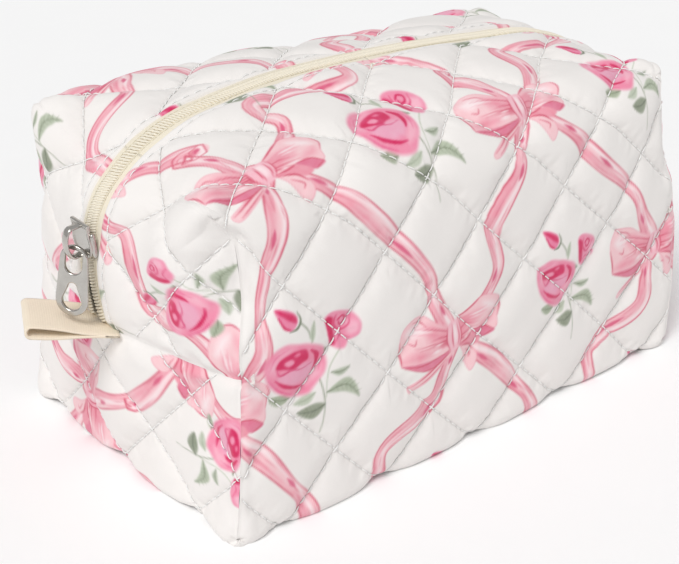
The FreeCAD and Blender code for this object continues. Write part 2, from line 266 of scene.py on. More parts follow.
def edge_distances(s, t):
    """Distances to the nearest corner or end seam, and to the zip's edge of the cloth."""
    x, y, z = sharp_point(s, t)
    on_end = np.abs(np.abs(x) - HALF_L) < 1e-6
    corner = np.maximum(HALF_L - np.abs(x), HALF_W - np.abs(y))
    on_wall = on_end | (np.abs(np.abs(y) - HALF_W) < 1e-6)
    to_corner = np.where(on_wall, corner, 99.0)
    to_end_seam = np.where(on_end, np.abs(z - END_SEAM), 99.0)
    to_zip = np.where((t > HEIGHT) | (t < T_BACK_TOP), np.abs(y) - SLOT, 99.0)
    return np.minimum(to_corner, to_end_seam), to_zip


def quilt_height(s, t, points):
    """Height of the cloth over its base form."""
    a, b, swell = quilt_swell(s, t, 2.1)
    height = PUFF * (swell ** 0.85 - 0.45)
    to_line = np.minimum(a, b) * QUILT_PITCH / math.sqrt(2) / math.pi
    pucker_way = np.where(a < b, (s - t), (s + t))
    pucker = NOISE(np.stack([pucker_way, to_line * 0.5, points[..., 2] * 0.1], -1), 3.1)
    height = height + PUCKER * pucker * bell(to_line - 2.0, 3.0)
    height = height - 0.12 * bell(to_line, 0.5)
    height = height + WAVE * NOISE(points, 34.0) + SMALL_WAVE * NOISE(points + 40, 13.0)
    to_seam, to_zip = edge_distances(s, t)
    seam_pucker = SEAM_PUCKER * NOISE(points + 9, 5.0) * bell(to_seam - 3, 3.0)
    height = height * smooth(to_seam / 7) * smooth((to_zip + 1.5) / 8) + seam_pucker
    height = height - 0.45 * bell(to_zip - TOPSTITCH, 0.6)
    roll = np.clip(1 - to_zip / 1.3, 0, 1)
    return height - 1.5 * roll ** 2


# ---- flat cloth as a grid
def lines(stops, step):
    parts = []
    for low, high in zip(stops[:-1], stops[1:]):
        count = max(1, round((high - low) / step))
        parts.append(np.linspace(low, high, count, endpoint=False))
    return np.concatenate(parts + [np.array([stops[-1]])])


class Cloth:
    """The bag's one piece of cloth, cut with notches for the boxed corners."""

    def __init__(self, step, offset, height):
        s_stops = [-ARM_LOW, -ARM_TOP, 0, FLAP_S, HALF_L, LENGTH - FLAP_S, LENGTH,
                   LENGTH + ARM_TOP, LENGTH + ARM_LOW]
        t_stops = [T_LAST, T_BACK_TOP, T_BACK_EDGE, 0, HEIGHT, T_TOP]
        self.s = lines(s_stops, step)
        self.t = lines(t_stops, step)
        s, t = np.meshgrid(self.s, self.t, indexing="ij")
        eps = 1e-6
        core = (s >= -eps) & (s <= LENGTH + eps)
        upper = (t >= HEIGHT - eps) | (t <= T_BACK_TOP + eps)
        upper = upper & (s >= -ARM_TOP - eps) & (s <= LENGTH + ARM_TOP + eps)
        lower = (t <= eps) & (t >= T_BACK_EDGE - eps)
        self.inside = core | upper | lower
        mid_s = (self.s[:-1] + self.s[1:]) / 2
        mid_t = (self.t[:-1] + self.t[1:]) / 2
        self.mid_s, self.mid_t = np.meshgrid(mid_s, mid_t, indexing="ij")
        inside = self.inside
        cells = inside[:-1, :-1] & inside[1:, :-1] & inside[:-1, 1:] & inside[1:, 1:]
        in_core = (self.mid_s > 0) & (self.mid_s < LENGTH)
        in_upper = (self.mid_t > HEIGHT) | (self.mid_t < T_BACK_TOP)
        in_lower = (self.mid_t < 0) & (self.mid_t > T_BACK_EDGE)
        reach = np.where(self.mid_s < 0, -self.mid_s, self.mid_s - LENGTH)
        self.cells = cells & (in_core | (in_upper & (reach < ARM_TOP)) | in_lower)
        self.flat = np.stack([s, t], -1)
        points = base_points(s, t)
        normals = self.normals(points)
        self.points = points + normals * (offset + height(s, t, points))[..., None]
        self.points[..., 2] = np.maximum(self.points[..., 2], REST_CLEARANCE)
        self.normal = self.normals(self.points)

    def normals(self, points):
        """Area-weighted vertex normals over the cells in use, pointing out of the bag."""
        p00, p10 = points[:-1, :-1], points[1:, :-1]
        p01, p11 = points[:-1, 1:], points[1:, 1:]
        face = np.cross(p11 - p00, p01 - p10) * self.cells[..., None]
        total = np.zeros_like(points)
        total[:-1, :-1] += face
        total[1:, :-1] += face
        total[:-1, 1:] += face
        total[1:, 1:] += face
        size = np.linalg.norm(total, axis=-1, keepdims=True)
        return total / np.maximum(size, 1e-12)

    def at(self, s, t):
        """Point and normal of the cloth at flat positions."""
        s, t = np.asarray(s, float), np.asarray(t, float)
        i = np.clip(np.searchsorted(self.s, s) - 1, 0, len(self.s) - 2)
        j = np.clip(np.searchsorted(self.t, t) - 1, 0, len(self.t) - 2)
        fs = ((s - self.s[i]) / (self.s[i + 1] - self.s[i]))[..., None]
        ft = ((t - self.t[j]) / (self.t[j + 1] - self.t[j]))[..., None]

        def mix(field):
            low = field[i, j] * (1 - fs) + field[i + 1, j] * fs
            high = field[i, j + 1] * (1 - fs) + field[i + 1, j + 1] * fs
            return low * (1 - ft) + high * ft

        normal = mix(self.normal)
        return mix(self.points), normal / np.linalg.norm(normal, axis=-1, keepdims=True)

    def part(self, name, chosen, material, colours=None, points=None):
        """Mesh object of the chosen cells."""
        points = self.points if points is None else points
        cells = self.cells & chosen
        used = np.zeros(self.inside.shape, bool)
        used[:-1, :-1] |= cells
        used[1:, :-1] |= cells
        used[:-1, 1:] |= cells
        used[1:, 1:] |= cells
        ids = np.full(used.shape, -1)
        ids[used] = np.arange(used.sum())
        i, j = np.nonzero(cells)
        faces = np.stack([ids[i, j], ids[i + 1, j], ids[i + 1, j + 1], ids[i, j + 1]], 1)
        obj = mesh_object(name, points[used], faces, material)
        add_flat_map(obj.data, self.flat[used])
        if colours is not None:
            paint = obj.data.color_attributes.new("print", "FLOAT_COLOR", "POINT")
            rgba = np.concatenate([colours[used], np.ones((used.sum(), 1))], 1)
            paint.data.foreach_set("color", rgba.astype(np.float32).ravel())
        obj.data.normals_split_custom_set_from_vertices(self.normal[used].tolist())
        return obj


# ---- mesh helpers
def add_object(name, data):
    """New object in the scene."""
    obj = bpy.data.objects.new(name, data)
    bpy.context.scene.collection.objects.link(obj)
    return obj


def mesh_object(name, points, faces, material, smooth_faces=True):
    mesh = bpy.data.meshes.new(name)
    points = np.asarray(points, np.float32) * MM
    faces = np.asarray(faces, np.int32)
    mesh.vertices.add(len(points))
    mesh.vertices.foreach_set("co", points.ravel())
    mesh.loops.add(faces.size)
    mesh.loops.foreach_set("vertex_index", faces.ravel())
    mesh.polygons.add(len(faces))
    mesh.polygons.foreach_set("loop_start", np.arange(len(faces), dtype=np.int32) * faces.shape[1])
    mesh.polygons.foreach_set("use_smooth", np.full(len(faces), smooth_faces))
    mesh.update(calc_edges=True)
    mesh.validate()
    mesh.materials.append(material)
    return add_object(name, mesh)


def add_flat_map(mesh, flat):
    """UV map in units of 10 mm of flat cloth."""
    index = np.empty(len(mesh.loops), np.int32)
    mesh.loops.foreach_get("vertex_index", index)
    layer = mesh.uv_layers.new(name="cloth")
    layer.data.foreach_set("uv", (flat[index] * 0.1).astype(np.float32).ravel())


def ring_faces(count, sides):
    """Faces between rings of points; the middles of both ends follow the last ring."""
    k = np.arange(sides)
    faces = []
    for a in np.arange(count - 1) * sides:
        b = a + sides
        faces.append(np.stack([a + k, a + (k + 1) % sides, b + (k + 1) % sides, b + k], 1))
    even = k[: sides // 2] * 2
    after, last, middle = (even + 2) % sides, (count - 1) * sides, count * sides
    faces.append(np.stack([0 * even + middle, after, even + 1, even], 1))
    faces.append(np.stack([0 * even + middle + 1, last + even, last + even + 1, last + after], 1))
    return np.concatenate(faces)


def tube(path, radii, sides=8, up=None, flat=1.0):
    """Points and faces of a closed tube along a path; radii may vary along it."""
    path = np.asarray(path, float)
    radii = np.broadcast_to(np.asarray(radii, float), len(path))
    tangent = np.gradient(path, axis=0)
    tangent /= np.linalg.norm(tangent, axis=1, keepdims=True)
    guide = np.array([0, 0, 1.0]) if up is None else np.asarray(up, float)
    across = np.cross(tangent, np.broadcast_to(guide, tangent.shape))
    across /= np.maximum(np.linalg.norm(across, axis=1, keepdims=True), 1e-9)
    lift = np.cross(across, tangent)
    turn = np.arange(sides) * 2 * math.pi / sides
    ring = (np.cos(turn)[:, None, None] * across + flat * np.sin(turn)[:, None, None] * lift)
    points = (path + ring * radii[:, None]).transpose(1, 0, 2).reshape(-1, 3)
    points = np.concatenate([points, path[:1], path[-1:]])
    return points, ring_faces(len(path), sides)


class Bundle:
    """Collects many small solids into one mesh."""

    def __init__(self):
        self.points, self.faces, self.count = [], [], 0

    def add(self, points, faces):
        self.points.append(points)
        self.faces.append(faces + self.count)
        self.count += len(points)

    def build(self, name, material):
        return mesh_object(name, np.concatenate(self.points), np.concatenate(self.faces), material)


# ---- materials
def linear(c):
    return np.where(c < 0.04045, c / 12.92, ((c + 0.055) / 1.055) ** 2.4)


def srgb(r, g, b):
    """Display colour, 0 to 255, as linear numbers."""
    return linear(np.array([r, g, b]) / 255)


class Nodes:
    """Small helper to write node trees."""

    def __init__(self, name):
        self.material = bpy.data.materials.new(name)
        self.material.use_nodes = True
        self.tree = self.material.node_tree
        self.shader = self.tree.nodes["Principled BSDF"]

    def add(self, kind, inputs=None, **settings):
        node = self.tree.nodes.new(kind)
        for key, value in settings.items():
            setattr(node, key, value)
        for key, value in (inputs or {}).items():
            if isinstance(value, bpy.types.NodeSocket):
                self.tree.links.new(value, node.inputs[key])
            else:
                node.inputs[key].default_value = value
        return node

    def link(self, output, name):
        self.tree.links.new(output, self.shader.inputs[name])

    def maths(self, operation, a, b=0.0, c=0.0):
        return self.add("ShaderNodeMath", {0: a, 1: b, 2: c}, operation=operation).outputs[0]

    def noise(self, coordinates, scale, detail=4.0, roughness=0.5):
        inputs = {"Vector": coordinates, "Scale": scale, "Detail": detail, "Roughness": roughness}
        return self.add("ShaderNodeTexNoise", inputs).outputs["Fac"]

    def mix(self, factor, a, b, blend="MIX"):
        node = self.add("ShaderNodeMix", {"Factor": factor}, data_type="RGBA", blend_type=blend)
        for socket, value in ((node.inputs[6], a), (node.inputs[7], b)):
            if isinstance(value, bpy.types.NodeSocket):
                self.tree.links.new(value, socket)
            else:
                socket.default_value = (*value, 1)
        return node.outputs[2]


def weave(nodes, coordinates, threads):
    """Plain weave: two crossed sets of threads, each going over and under."""
    split = nodes.add("ShaderNodeSeparateXYZ", {0: coordinates})
    turn = threads * math.pi
    across = nodes.maths("SINE", nodes.maths("MULTIPLY", split.outputs[0], turn))
    along = nodes.maths("SINE", nodes.maths("MULTIPLY", split.outputs[1], turn))
    warp = nodes.maths("ABSOLUTE", across)
    weft = nodes.maths("ABSOLUTE", along)
    over = nodes.maths("MULTIPLY", across, along)
    over = nodes.maths("MULTIPLY_ADD", over, 0.5, 0.5)
    mixed = nodes.maths("MULTIPLY", warp, over)
    other = nodes.maths("MULTIPLY", weft, nodes.maths("SUBTRACT", 1.0, over))
    return nodes.maths("ADD", mixed, other)


def cloth_material(name, colour, printed=False, threads=28.0, rough=0.88, bump=0.25):
    nodes = Nodes(name)
    flat = nodes.add("ShaderNodeUVMap", uv_map="cloth").outputs[0]
    threads_high = weave(nodes, flat, threads)
    cloudy = nodes.noise(flat, 1.4, 5.0, 0.6)
    fibre = nodes.noise(flat, 60.0, 3.0, 0.7)
    base = tuple(float(c) for c in colour)
    if printed:
        source = nodes.add("ShaderNodeAttribute", attribute_name="print").outputs["Color"]
    else:
        source = nodes.mix(0.0, base, base)
    # Painted shade: the weave's low places are darkened to about 0.9 of the colour, by the same
    # height that bumps them; the cloudy and fibre noise vary the tone at random.
    dark = nodes.mix(1.0, source, (0.90, 0.895, 0.89), "MULTIPLY")
    tone = nodes.maths("MULTIPLY_ADD", threads_high, 0.5, nodes.maths("MULTIPLY", fibre, 0.4))
    tone = nodes.maths("MULTIPLY_ADD", cloudy, 0.35, tone)
    colour_out = nodes.mix(nodes.maths("MULTIPLY_ADD", tone, 1.2, -0.2), dark, source)
    nodes.link(colour_out, "Base Color")
    height = nodes.maths("MULTIPLY_ADD", fibre, 0.5, threads_high)
    inputs = {"Height": height, "Strength": bump, "Distance": 0.00012}
    nodes.link(nodes.add("ShaderNodeBump", inputs).outputs[0], "Normal")
    roughness = nodes.maths("MULTIPLY_ADD", fibre, 0.12, rough - 0.06)
    nodes.link(roughness, "Roughness")
    nodes.shader.inputs["Sheen Weight"].default_value = 0.25
    nodes.shader.inputs["Sheen Roughness"].default_value = 0.5
    nodes.shader.inputs["Specular IOR Level"].default_value = 0.25
    return nodes.material


def plain_material(name, colour, dark, texture, rough, bump=None):
    """One colour varied by a texture, which can also give bumps of (strength, distance)."""
    nodes = Nodes(name)
    pattern = texture(nodes, nodes.add("ShaderNodeTexCoord").outputs["Object"])
    shade = nodes.mix(pattern, tuple(c * dark for c in colour), tuple(colour))
    nodes.link(shade, "Base Color")
    if bump:
        inputs = {"Height": pattern, "Strength": bump[0], "Distance": bump[1]}
        nodes.link(nodes.add("ShaderNodeBump", inputs).outputs[0], "Normal")
    nodes.shader.inputs["Roughness"].default_value = rough
    return nodes, pattern


def thread_material(name, colour):
    def twist(nodes, place):
        return nodes.add("ShaderNodeTexWave", {"Vector": place, "Scale": 900.0, "Distortion": 2.0},
                         bands_direction="DIAGONAL").outputs["Fac"]

    # Painted shade: the twist's grooves are darkened to 0.82 of the thread's colour, by the same
    # pattern that bumps them.
    nodes = plain_material(name, colour, 0.82, twist, 0.6, (0.4, 0.0001))[0]
    nodes.shader.inputs["Sheen Weight"].default_value = 0.2
    return nodes.material


def wadding_material(name, colour):
    def fluff(nodes, place):
        return nodes.noise(place, 700.0, 6.0, 0.7)

    return plain_material(name, colour, 0.85, fluff, 0.95, (0.8, 0.0003))[0].material


def plastic_material(name, colour):
    def speck(nodes, place):
        return nodes.noise(place, 900.0, 3.0)

    nodes, pattern = plain_material(name, colour, 0.86, speck, 0.4)
    nodes.link(nodes.maths("MULTIPLY_ADD", pattern, 0.2, 0.38), "Roughness")
    nodes.shader.inputs["Specular IOR Level"].default_value = 0.4
    return nodes.material


def metal_material(name):
    nodes = Nodes(name)
    place = nodes.add("ShaderNodeTexCoord").outputs["Object"]
    smear = nodes.noise(place, 260.0, 4.0, 0.6)
    fine = nodes.noise(place, 2400.0, 2.0)
    nodes.link(nodes.mix(smear, srgb(176, 172, 166), srgb(214, 211, 206)), "Base Color")
    nodes.link(nodes.maths("MULTIPLY_ADD", smear, 0.16, 0.14), "Roughness")
    nodes.link(nodes.add("ShaderNodeBump", {"Height": fine, "Strength": 0.06,
                                            "Distance": 0.00005}).outputs[0], "Normal")
    nodes.shader.inputs["Metallic"].default_value = 1.0
    return nodes.material


WHITE = srgb(243, 240, 239)
COTTON = cloth_material("printed_cotton", WHITE, printed=True)
LINING = cloth_material("lining_cotton", srgb(240, 238, 234), threads=22.0)
BINDING = cloth_material("binding_cotton", srgb(243, 241, 238), threads=18.0, bump=0.4)
TAPE = cloth_material("zip_tape", srgb(243, 234, 214), threads=16.0, bump=0.6)
RIBBON = cloth_material("beige_ribbon", srgb(248, 234, 212), threads=14.0, bump=0.6)
THREAD = thread_material("white_thread", srgb(250, 249, 247))
TAPE_THREAD = thread_material("zip_thread", srgb(244, 236, 214))
WADDING = wadding_material("wadding", srgb(246, 246, 244))
COIL = plastic_material("ivory_coil", srgb(247, 239, 221))
NICKEL = metal_material("nickel_plate")


# ---- painting the print on flat cloth
PAINT = 8.0                 # dots per mm of the painted cloth
SATIN = (250, 204, 210)
MID_PINK = (240, 152, 170)
HIGHLIGHT = (254, 233, 236)
ROSE_PINK = (240, 132, 168)
DEEP = (214, 38, 92)
LINE_PINK = (212, 82, 108)
GREEN = (182, 192, 170)
DARK_GREEN = (112, 122, 100)


def curve(points, closed=False, steps=8):
    """Smooth line through points."""
    p = np.asarray(points, float)
    if closed:
        p = np.concatenate([p[-1:], p, p[:2]])
    else:
        p = np.concatenate([2 * p[:1] - p[1:2], p, 2 * p[-1:] - p[-2:-1]])
    u = (np.arange(steps) / steps)[:, None]
    out = []
    for a, b, c, d in zip(p[:-3], p[1:-2], p[2:-1], p[3:]):
        out.append(0.5 * (2 * b + (c - a) * u + (2 * a - 5 * b + 4 * c - d) * u ** 2
                          + (3 * b - 3 * c + d - a) * u ** 3))
    if not closed:
        out.append(p[-2:-1])
    return np.concatenate(out)


class Sheet:
    """Flat painted area with colour and cover, over low to high in mm."""

    def __init__(self, low, high):
        self.low = np.asarray(low, float)
        size = np.ceil((np.asarray(high) - self.low) * PAINT).astype(int)
        self.rgb = np.zeros((*size, 3))
        self.cover = np.zeros(size)

    def window(self, low, high):
        a = np.floor((np.asarray(low) - self.low) * PAINT).astype(int)
        b = np.ceil((np.asarray(high) - self.low) * PAINT).astype(int) + 1
        a = np.clip(a, 0, self.cover.shape)
        b = np.clip(b, 0, self.cover.shape)
        x, y = np.meshgrid(np.arange(a[0], b[0]), np.arange(a[1], b[1]), indexing="ij")
        spots = np.stack([x, y], -1) / PAINT + self.low
        return (slice(a[0], b[0]), slice(a[1], b[1])), spots

    def lay(self, where, cover, colour):
        cover = np.clip(cover, 0, 1)
        old = self.cover[where]
        total = cover + old * (1 - cover)
        safe = np.maximum(total, 1e-6)[..., None]
        colour = np.asarray(colour, float)
        self.rgb[where] = (colour * cover[..., None]
                           + self.rgb[where] * (old * (1 - cover))[..., None]) / safe
        self.cover[where] = total

    def stamp(self, other, at):
        """Puts a painted sheet down with its zero at a place."""
        start = np.round((other.low + at - self.low) * PAINT).astype(int)
        size = np.array(other.cover.shape)
        a = np.clip(start, 0, self.cover.shape)
        b = np.clip(start + size, 0, self.cover.shape)
        if (b <= a).any():
            return
        source = tuple(slice(lo - st, hi - st) for lo, hi, st in zip(a, b, start))
        where = tuple(slice(lo, hi) for lo, hi in zip(a, b))
        self.lay(where, other.cover[source], other.rgb[source])

    def scaled(self, across, up):
        """The same picture, stretched."""
        share = np.array([across, up])
        low = np.round(self.low * share * PAINT) / PAINT
        other = Sheet(low, low + np.array(self.cover.shape) / PAINT * share)
        where = [((np.arange(n) / PAINT + lo) / sh - lo0) * PAINT for n, lo, sh, lo0 in
                 zip(other.cover.shape, low, share, self.low)]
        x, y = [np.clip(w.round().astype(int), 0, n - 1) for w, n in zip(where, self.cover.shape)]
        other.rgb, other.cover = self.rgb[x][:, y], self.cover[x][:, y]
        return other

    def soften(self, width):
        """Averages the paint over squares, so that a coarser mesh samples it cleanly."""
        tinted = self.rgb * self.cover[..., None]
        cover = self.cover
        for axis in (0, 1):
            cover = sum(np.roll(cover, k, axis) for k in range(width)) / width
            tinted = sum(np.roll(tinted, k, axis) for k in range(width)) / width
        back = -(width // 2)
        self.cover = np.roll(cover, (back, back), (0, 1))
        tinted = np.roll(tinted, (back, back), (0, 1))
        self.rgb = tinted / np.maximum(self.cover, 1e-6)[..., None]

    def fill(self, outline, colour, strength=1.0, soft=0.5):
        """Area inside a smooth closed line."""
        line = curve(outline, closed=True)
        where, spots = self.window(line.min(0) - soft, line.max(0) + soft)
        ends = np.roll(line, -1, 0)
        if spots.size == 0:
            return
        distance = nearest(spots, line, ends, soft)[0]
        inside = np.zeros(spots.shape[:2], bool)
        for a, b in zip(line, ends):
            crosses = (a[1] > spots[..., 1]) != (b[1] > spots[..., 1])
            slope = (b[0] - a[0]) / (b[1] - a[1] if b[1] != a[1] else 1e-9)
            inside ^= crosses & (spots[..., 0] < a[0] + slope * (spots[..., 1] - a[1]))
        signed = np.where(inside, distance, -distance)
        self.lay(where, strength * (0.5 + signed / soft), colour)

    def stroke(self, points, widths, colour, strength=1.0, soft=0.25, smooth_line=True):
        """Brush line whose width changes along it."""
        line = curve(points) if smooth_line else np.asarray(points, float)
        widths = np.atleast_1d(np.asarray(widths, float))
        along = np.linspace(0, len(widths) - 1, len(line))
        half = np.interp(along, np.arange(len(widths)), widths) / 2
        reach = half.max() + soft
        where, spots = self.window(line.min(0) - reach, line.max(0) + reach)
        if spots.size == 0:
            return
        distance, place, share = nearest(spots, line[:-1], line[1:], reach)
        local = half[:-1][place] * (1 - share) + half[1:][place] * share
        self.lay(where, strength * (0.5 + (local - distance) / soft), colour)


def nearest(spots, starts, ends, reach):
    """Distance to the nearest piece of a line, which piece, and how far along it.

    Spots further than reach from the line are left at a large distance."""
    best = np.full(spots.shape[:-1], 1e9)
    place = np.zeros(spots.shape[:-1], int)
    share = np.zeros(spots.shape[:-1])
    corner = spots[0, 0]
    for k, (a, b) in enumerate(zip(starts, ends)):
        low = np.floor((np.minimum(a, b) - reach - corner) * PAINT).astype(int)
        high = np.ceil((np.maximum(a, b) + reach - corner) * PAINT).astype(int) + 1
        low, high = np.maximum(low, 0), np.maximum(high, 0)
        box = (slice(low[0], high[0]), slice(low[1], high[1]))
        near = spots[box]
        d = b - a
        u = np.clip(((near - a) @ d) / max(d @ d, 1e-12), 0, 1)
        gap = np.hypot(near[..., 0] - a[0] - u * d[0], near[..., 1] - a[1] - u * d[1])
        closer = gap < best[box]
        best[box] = np.where(closer, gap, best[box])
        place[box] = np.where(closer, k, place[box])
        share[box] = np.where(closer, u, share[box])
    return best, place, share


def paint_bow():
    """Bow of satin ribbon; zero is its knot."""
    art = Sheet((-26, -16), (23, 15))
    left = [(-3, 5), (-9, 9), (-13, 11.8), (-18, 12.4), (-22.3, 10), (-23.4, 6), (-22.4, 1.5),
            (-22, -2.4), (-17, -3), (-10, -3.2), (-3, -2)]
    right = [(2.2, 5.8), (6, 8.8), (10.5, 11.6), (15, 11.2), (19.4, 8.8), (20.8, 5.4),
             (19.2, 1.8), (17.8, -2.2), (9.4, -0.6), (2, -2)]
    tail = [(-2, -2.6), (-2.4, -4.6), (-16, -12.6), (-18.6, -11), (-10, -6.2)]
    tail_right = [(2, -2.5), (6, -3.6), (9.6, -6.6), (10.5, -10), (7.5, -13.5), (5.4, -9),
                  (4, -5.4)]
    for shape in (tail, tail_right, left, right):
        art.fill(shape, SATIN, 0.95)
        art.stroke(shape + shape[:1], 0.3, MID_PINK, 0.75)
    art.fill([(-12, 8.5), (-7, 6.5), (-3, 4.4), (-4, 0.4), (-8, 1), (-12, 4)], MID_PINK, 0.7, 3.0)
    art.fill([(-22, -1), (-16, 1.4), (-9, -1), (-15, -2.8)], MID_PINK, 0.6, 2.0)
    art.fill([(3, 5), (8, 7), (12, 6), (9, 2), (3, 0)], MID_PINK, 0.7, 3.0)
    art.fill([(11, 0), (17, 0.6), (18, 4), (14, 2.6)], MID_PINK, 0.5, 2.0)
    art.fill([(-21, 8.5), (-16, 10), (-13, 7.4), (-18, 5.4)], HIGHLIGHT, 0.9, 2.0)
    art.fill([(12, 9.6), (17, 8), (18.4, 5), (14, 6.6)], HIGHLIGHT, 0.9, 2.0)
    art.fill([(-22, -2.5), (-13, -6.2), (-7, -5.2), (-2.6, -2.6), (-9, -3.3), (-15, -3)],
             (229, 128, 155), 0.9)
    art.fill([(9.2, -0.6), (13, -0.2), (17.9, -2.4), (17.2, -3.6), (13.6, -4.4), (10.5, -2.6)],
             (229, 124, 152), 0.9)
    art.fill([(2, -2), (9, -1), (13, -4.2), (10, -5.6), (7, -4)], MID_PINK, 0.8)
    dice = np.random.default_rng(12)
    for sign, reach, rise in ((-1, 20, 9.5), (1, 16, 8.5)):
        for share in np.linspace(-0.15, 1, 11):
            start = (sign * 2.6, 0.2 + 4.2 * share)
            length = reach * dice.uniform(0.4, 0.95)
            end = (sign * length, -0.6 + (rise * share + 1.2) * length / reach ** 0.98)
            middle = ((start[0] + end[0]) / 2, (start[1] + end[1]) / 2 + 0.7 * share)
            shade = LINE_PINK if dice.random() < 0.45 else MID_PINK
            art.stroke([start, middle, end], [0.55, 0.4, 0.05], shade, 0.75)
            if dice.random() < 0.5:
                low = np.array([0, -0.6])
                art.stroke([np.add(middle, low), np.add(end, low)], [0.3, 0.7, 0.1], HIGHLIGHT,
                           0.85, 0.5)
    art.fill([(-3, 5.8), (0, 6.4), (2.6, 5.8), (3, 1), (1.6, -2.6), (-2, -3), (-3.6, 0)],
             (248, 190, 203), 0.97)
    art.fill([(-1, 5), (1, 5), (1.4, 1), (0, -1), (-1, 1)], HIGHLIGHT, 0.7, 1.4)
    for points, width in (
            ([(-1, 5.6), (-1.3, 1), (-0.8, -2.2)], 0.6), ([(1.6, 5), (1.9, 1), (1.2, -2)], 0.5),
            ([(-3.4, 5.4), (-3.9, 1), (-2.2, -3)], 0.6), ([(2.8, 5.6), (3.2, 1), (1.8, -2.6)], 0.5),
            ([(-23.4, 6.4), (-22.5, 1.5), (-22, -2.4)], 0.6),
            ([(-22, -2.6), (-14, -4), (-3, -2.6)], 0.5),
            ([(-21, -3.2), (-13, -6.3), (-7, -5.4), (-2.8, -3)], 0.45),
            ([(-16, 5), (-17, 3.4), (-19, 4.4)], 0.4), ([(-18, 11.2), (-14, 10), (-12, 8)], 0.35),
            ([(2.4, 6), (6.5, 8.8), (11.5, 12.2)], 0.6), ([(1.8, -2), (6, -1.6), (9.4, -0.6)], 0.6),
            ([(9.4, -0.5), (14, -0.3), (17.9, -2.5)], 0.5), ([(17.8, -2.5), (14, -4.4)], 0.45),
            ([(2.2, -2.6), (7, -4), (9.6, -7)], 0.7), ([(5, -5), (8, -7.4), (7.4, -9)], 0.4),
            ([(-2.2, -3.2), (-9, -6.4), (-18, -11.2)], 0.6),
            ([(-4, -5), (-10, -8.6), (-16, -12)], 0.4),
            ([(19.6, 8.6), (20.9, 5.4), (19.3, 1.8)], 0.4)):
        art.stroke(points, [0.2, width, width, 0.15], LINE_PINK, 0.85)
    return art


def paint_leaf(art, base, tip, bend, width, colour, dark):
    """Leaf from base to tip with a midrib and side veins."""
    base, tip = np.array(base, float), np.array(tip, float)
    way = tip - base
    side = np.array([-way[1], way[0]]) / np.linalg.norm(way)
    middle = (base + tip) / 2 + side * bend
    outline = [base, base + way * 0.25 + side * (bend * 0.7 + width * 0.42),
               middle + side * width * 0.5, base + way * 0.8 + side * (bend * 0.6 + width * 0.3),
               tip, base + way * 0.8 + side * (bend * 0.6 - width * 0.3),
               middle - side * width * 0.5, base + way * 0.25 + side * (bend * 0.7 - width * 0.42)]
    art.fill(outline, colour, 0.75, 0.6)
    art.stroke([base, middle, tip], [0.4, 0.35, 0.15], dark, 0.75)
    for share in np.linspace(0.2, 0.85, 6):
        root = base * (1 - share) + tip * share + side * bend * 4 * share * (1 - share)
        for sign in (1, -1):
            end = root + way * 0.12 + side * sign * width * 0.4 * math.sin(share * math.pi)
            art.stroke([root, end], [0.25, 0.1], dark, 0.55, smooth_line=False)


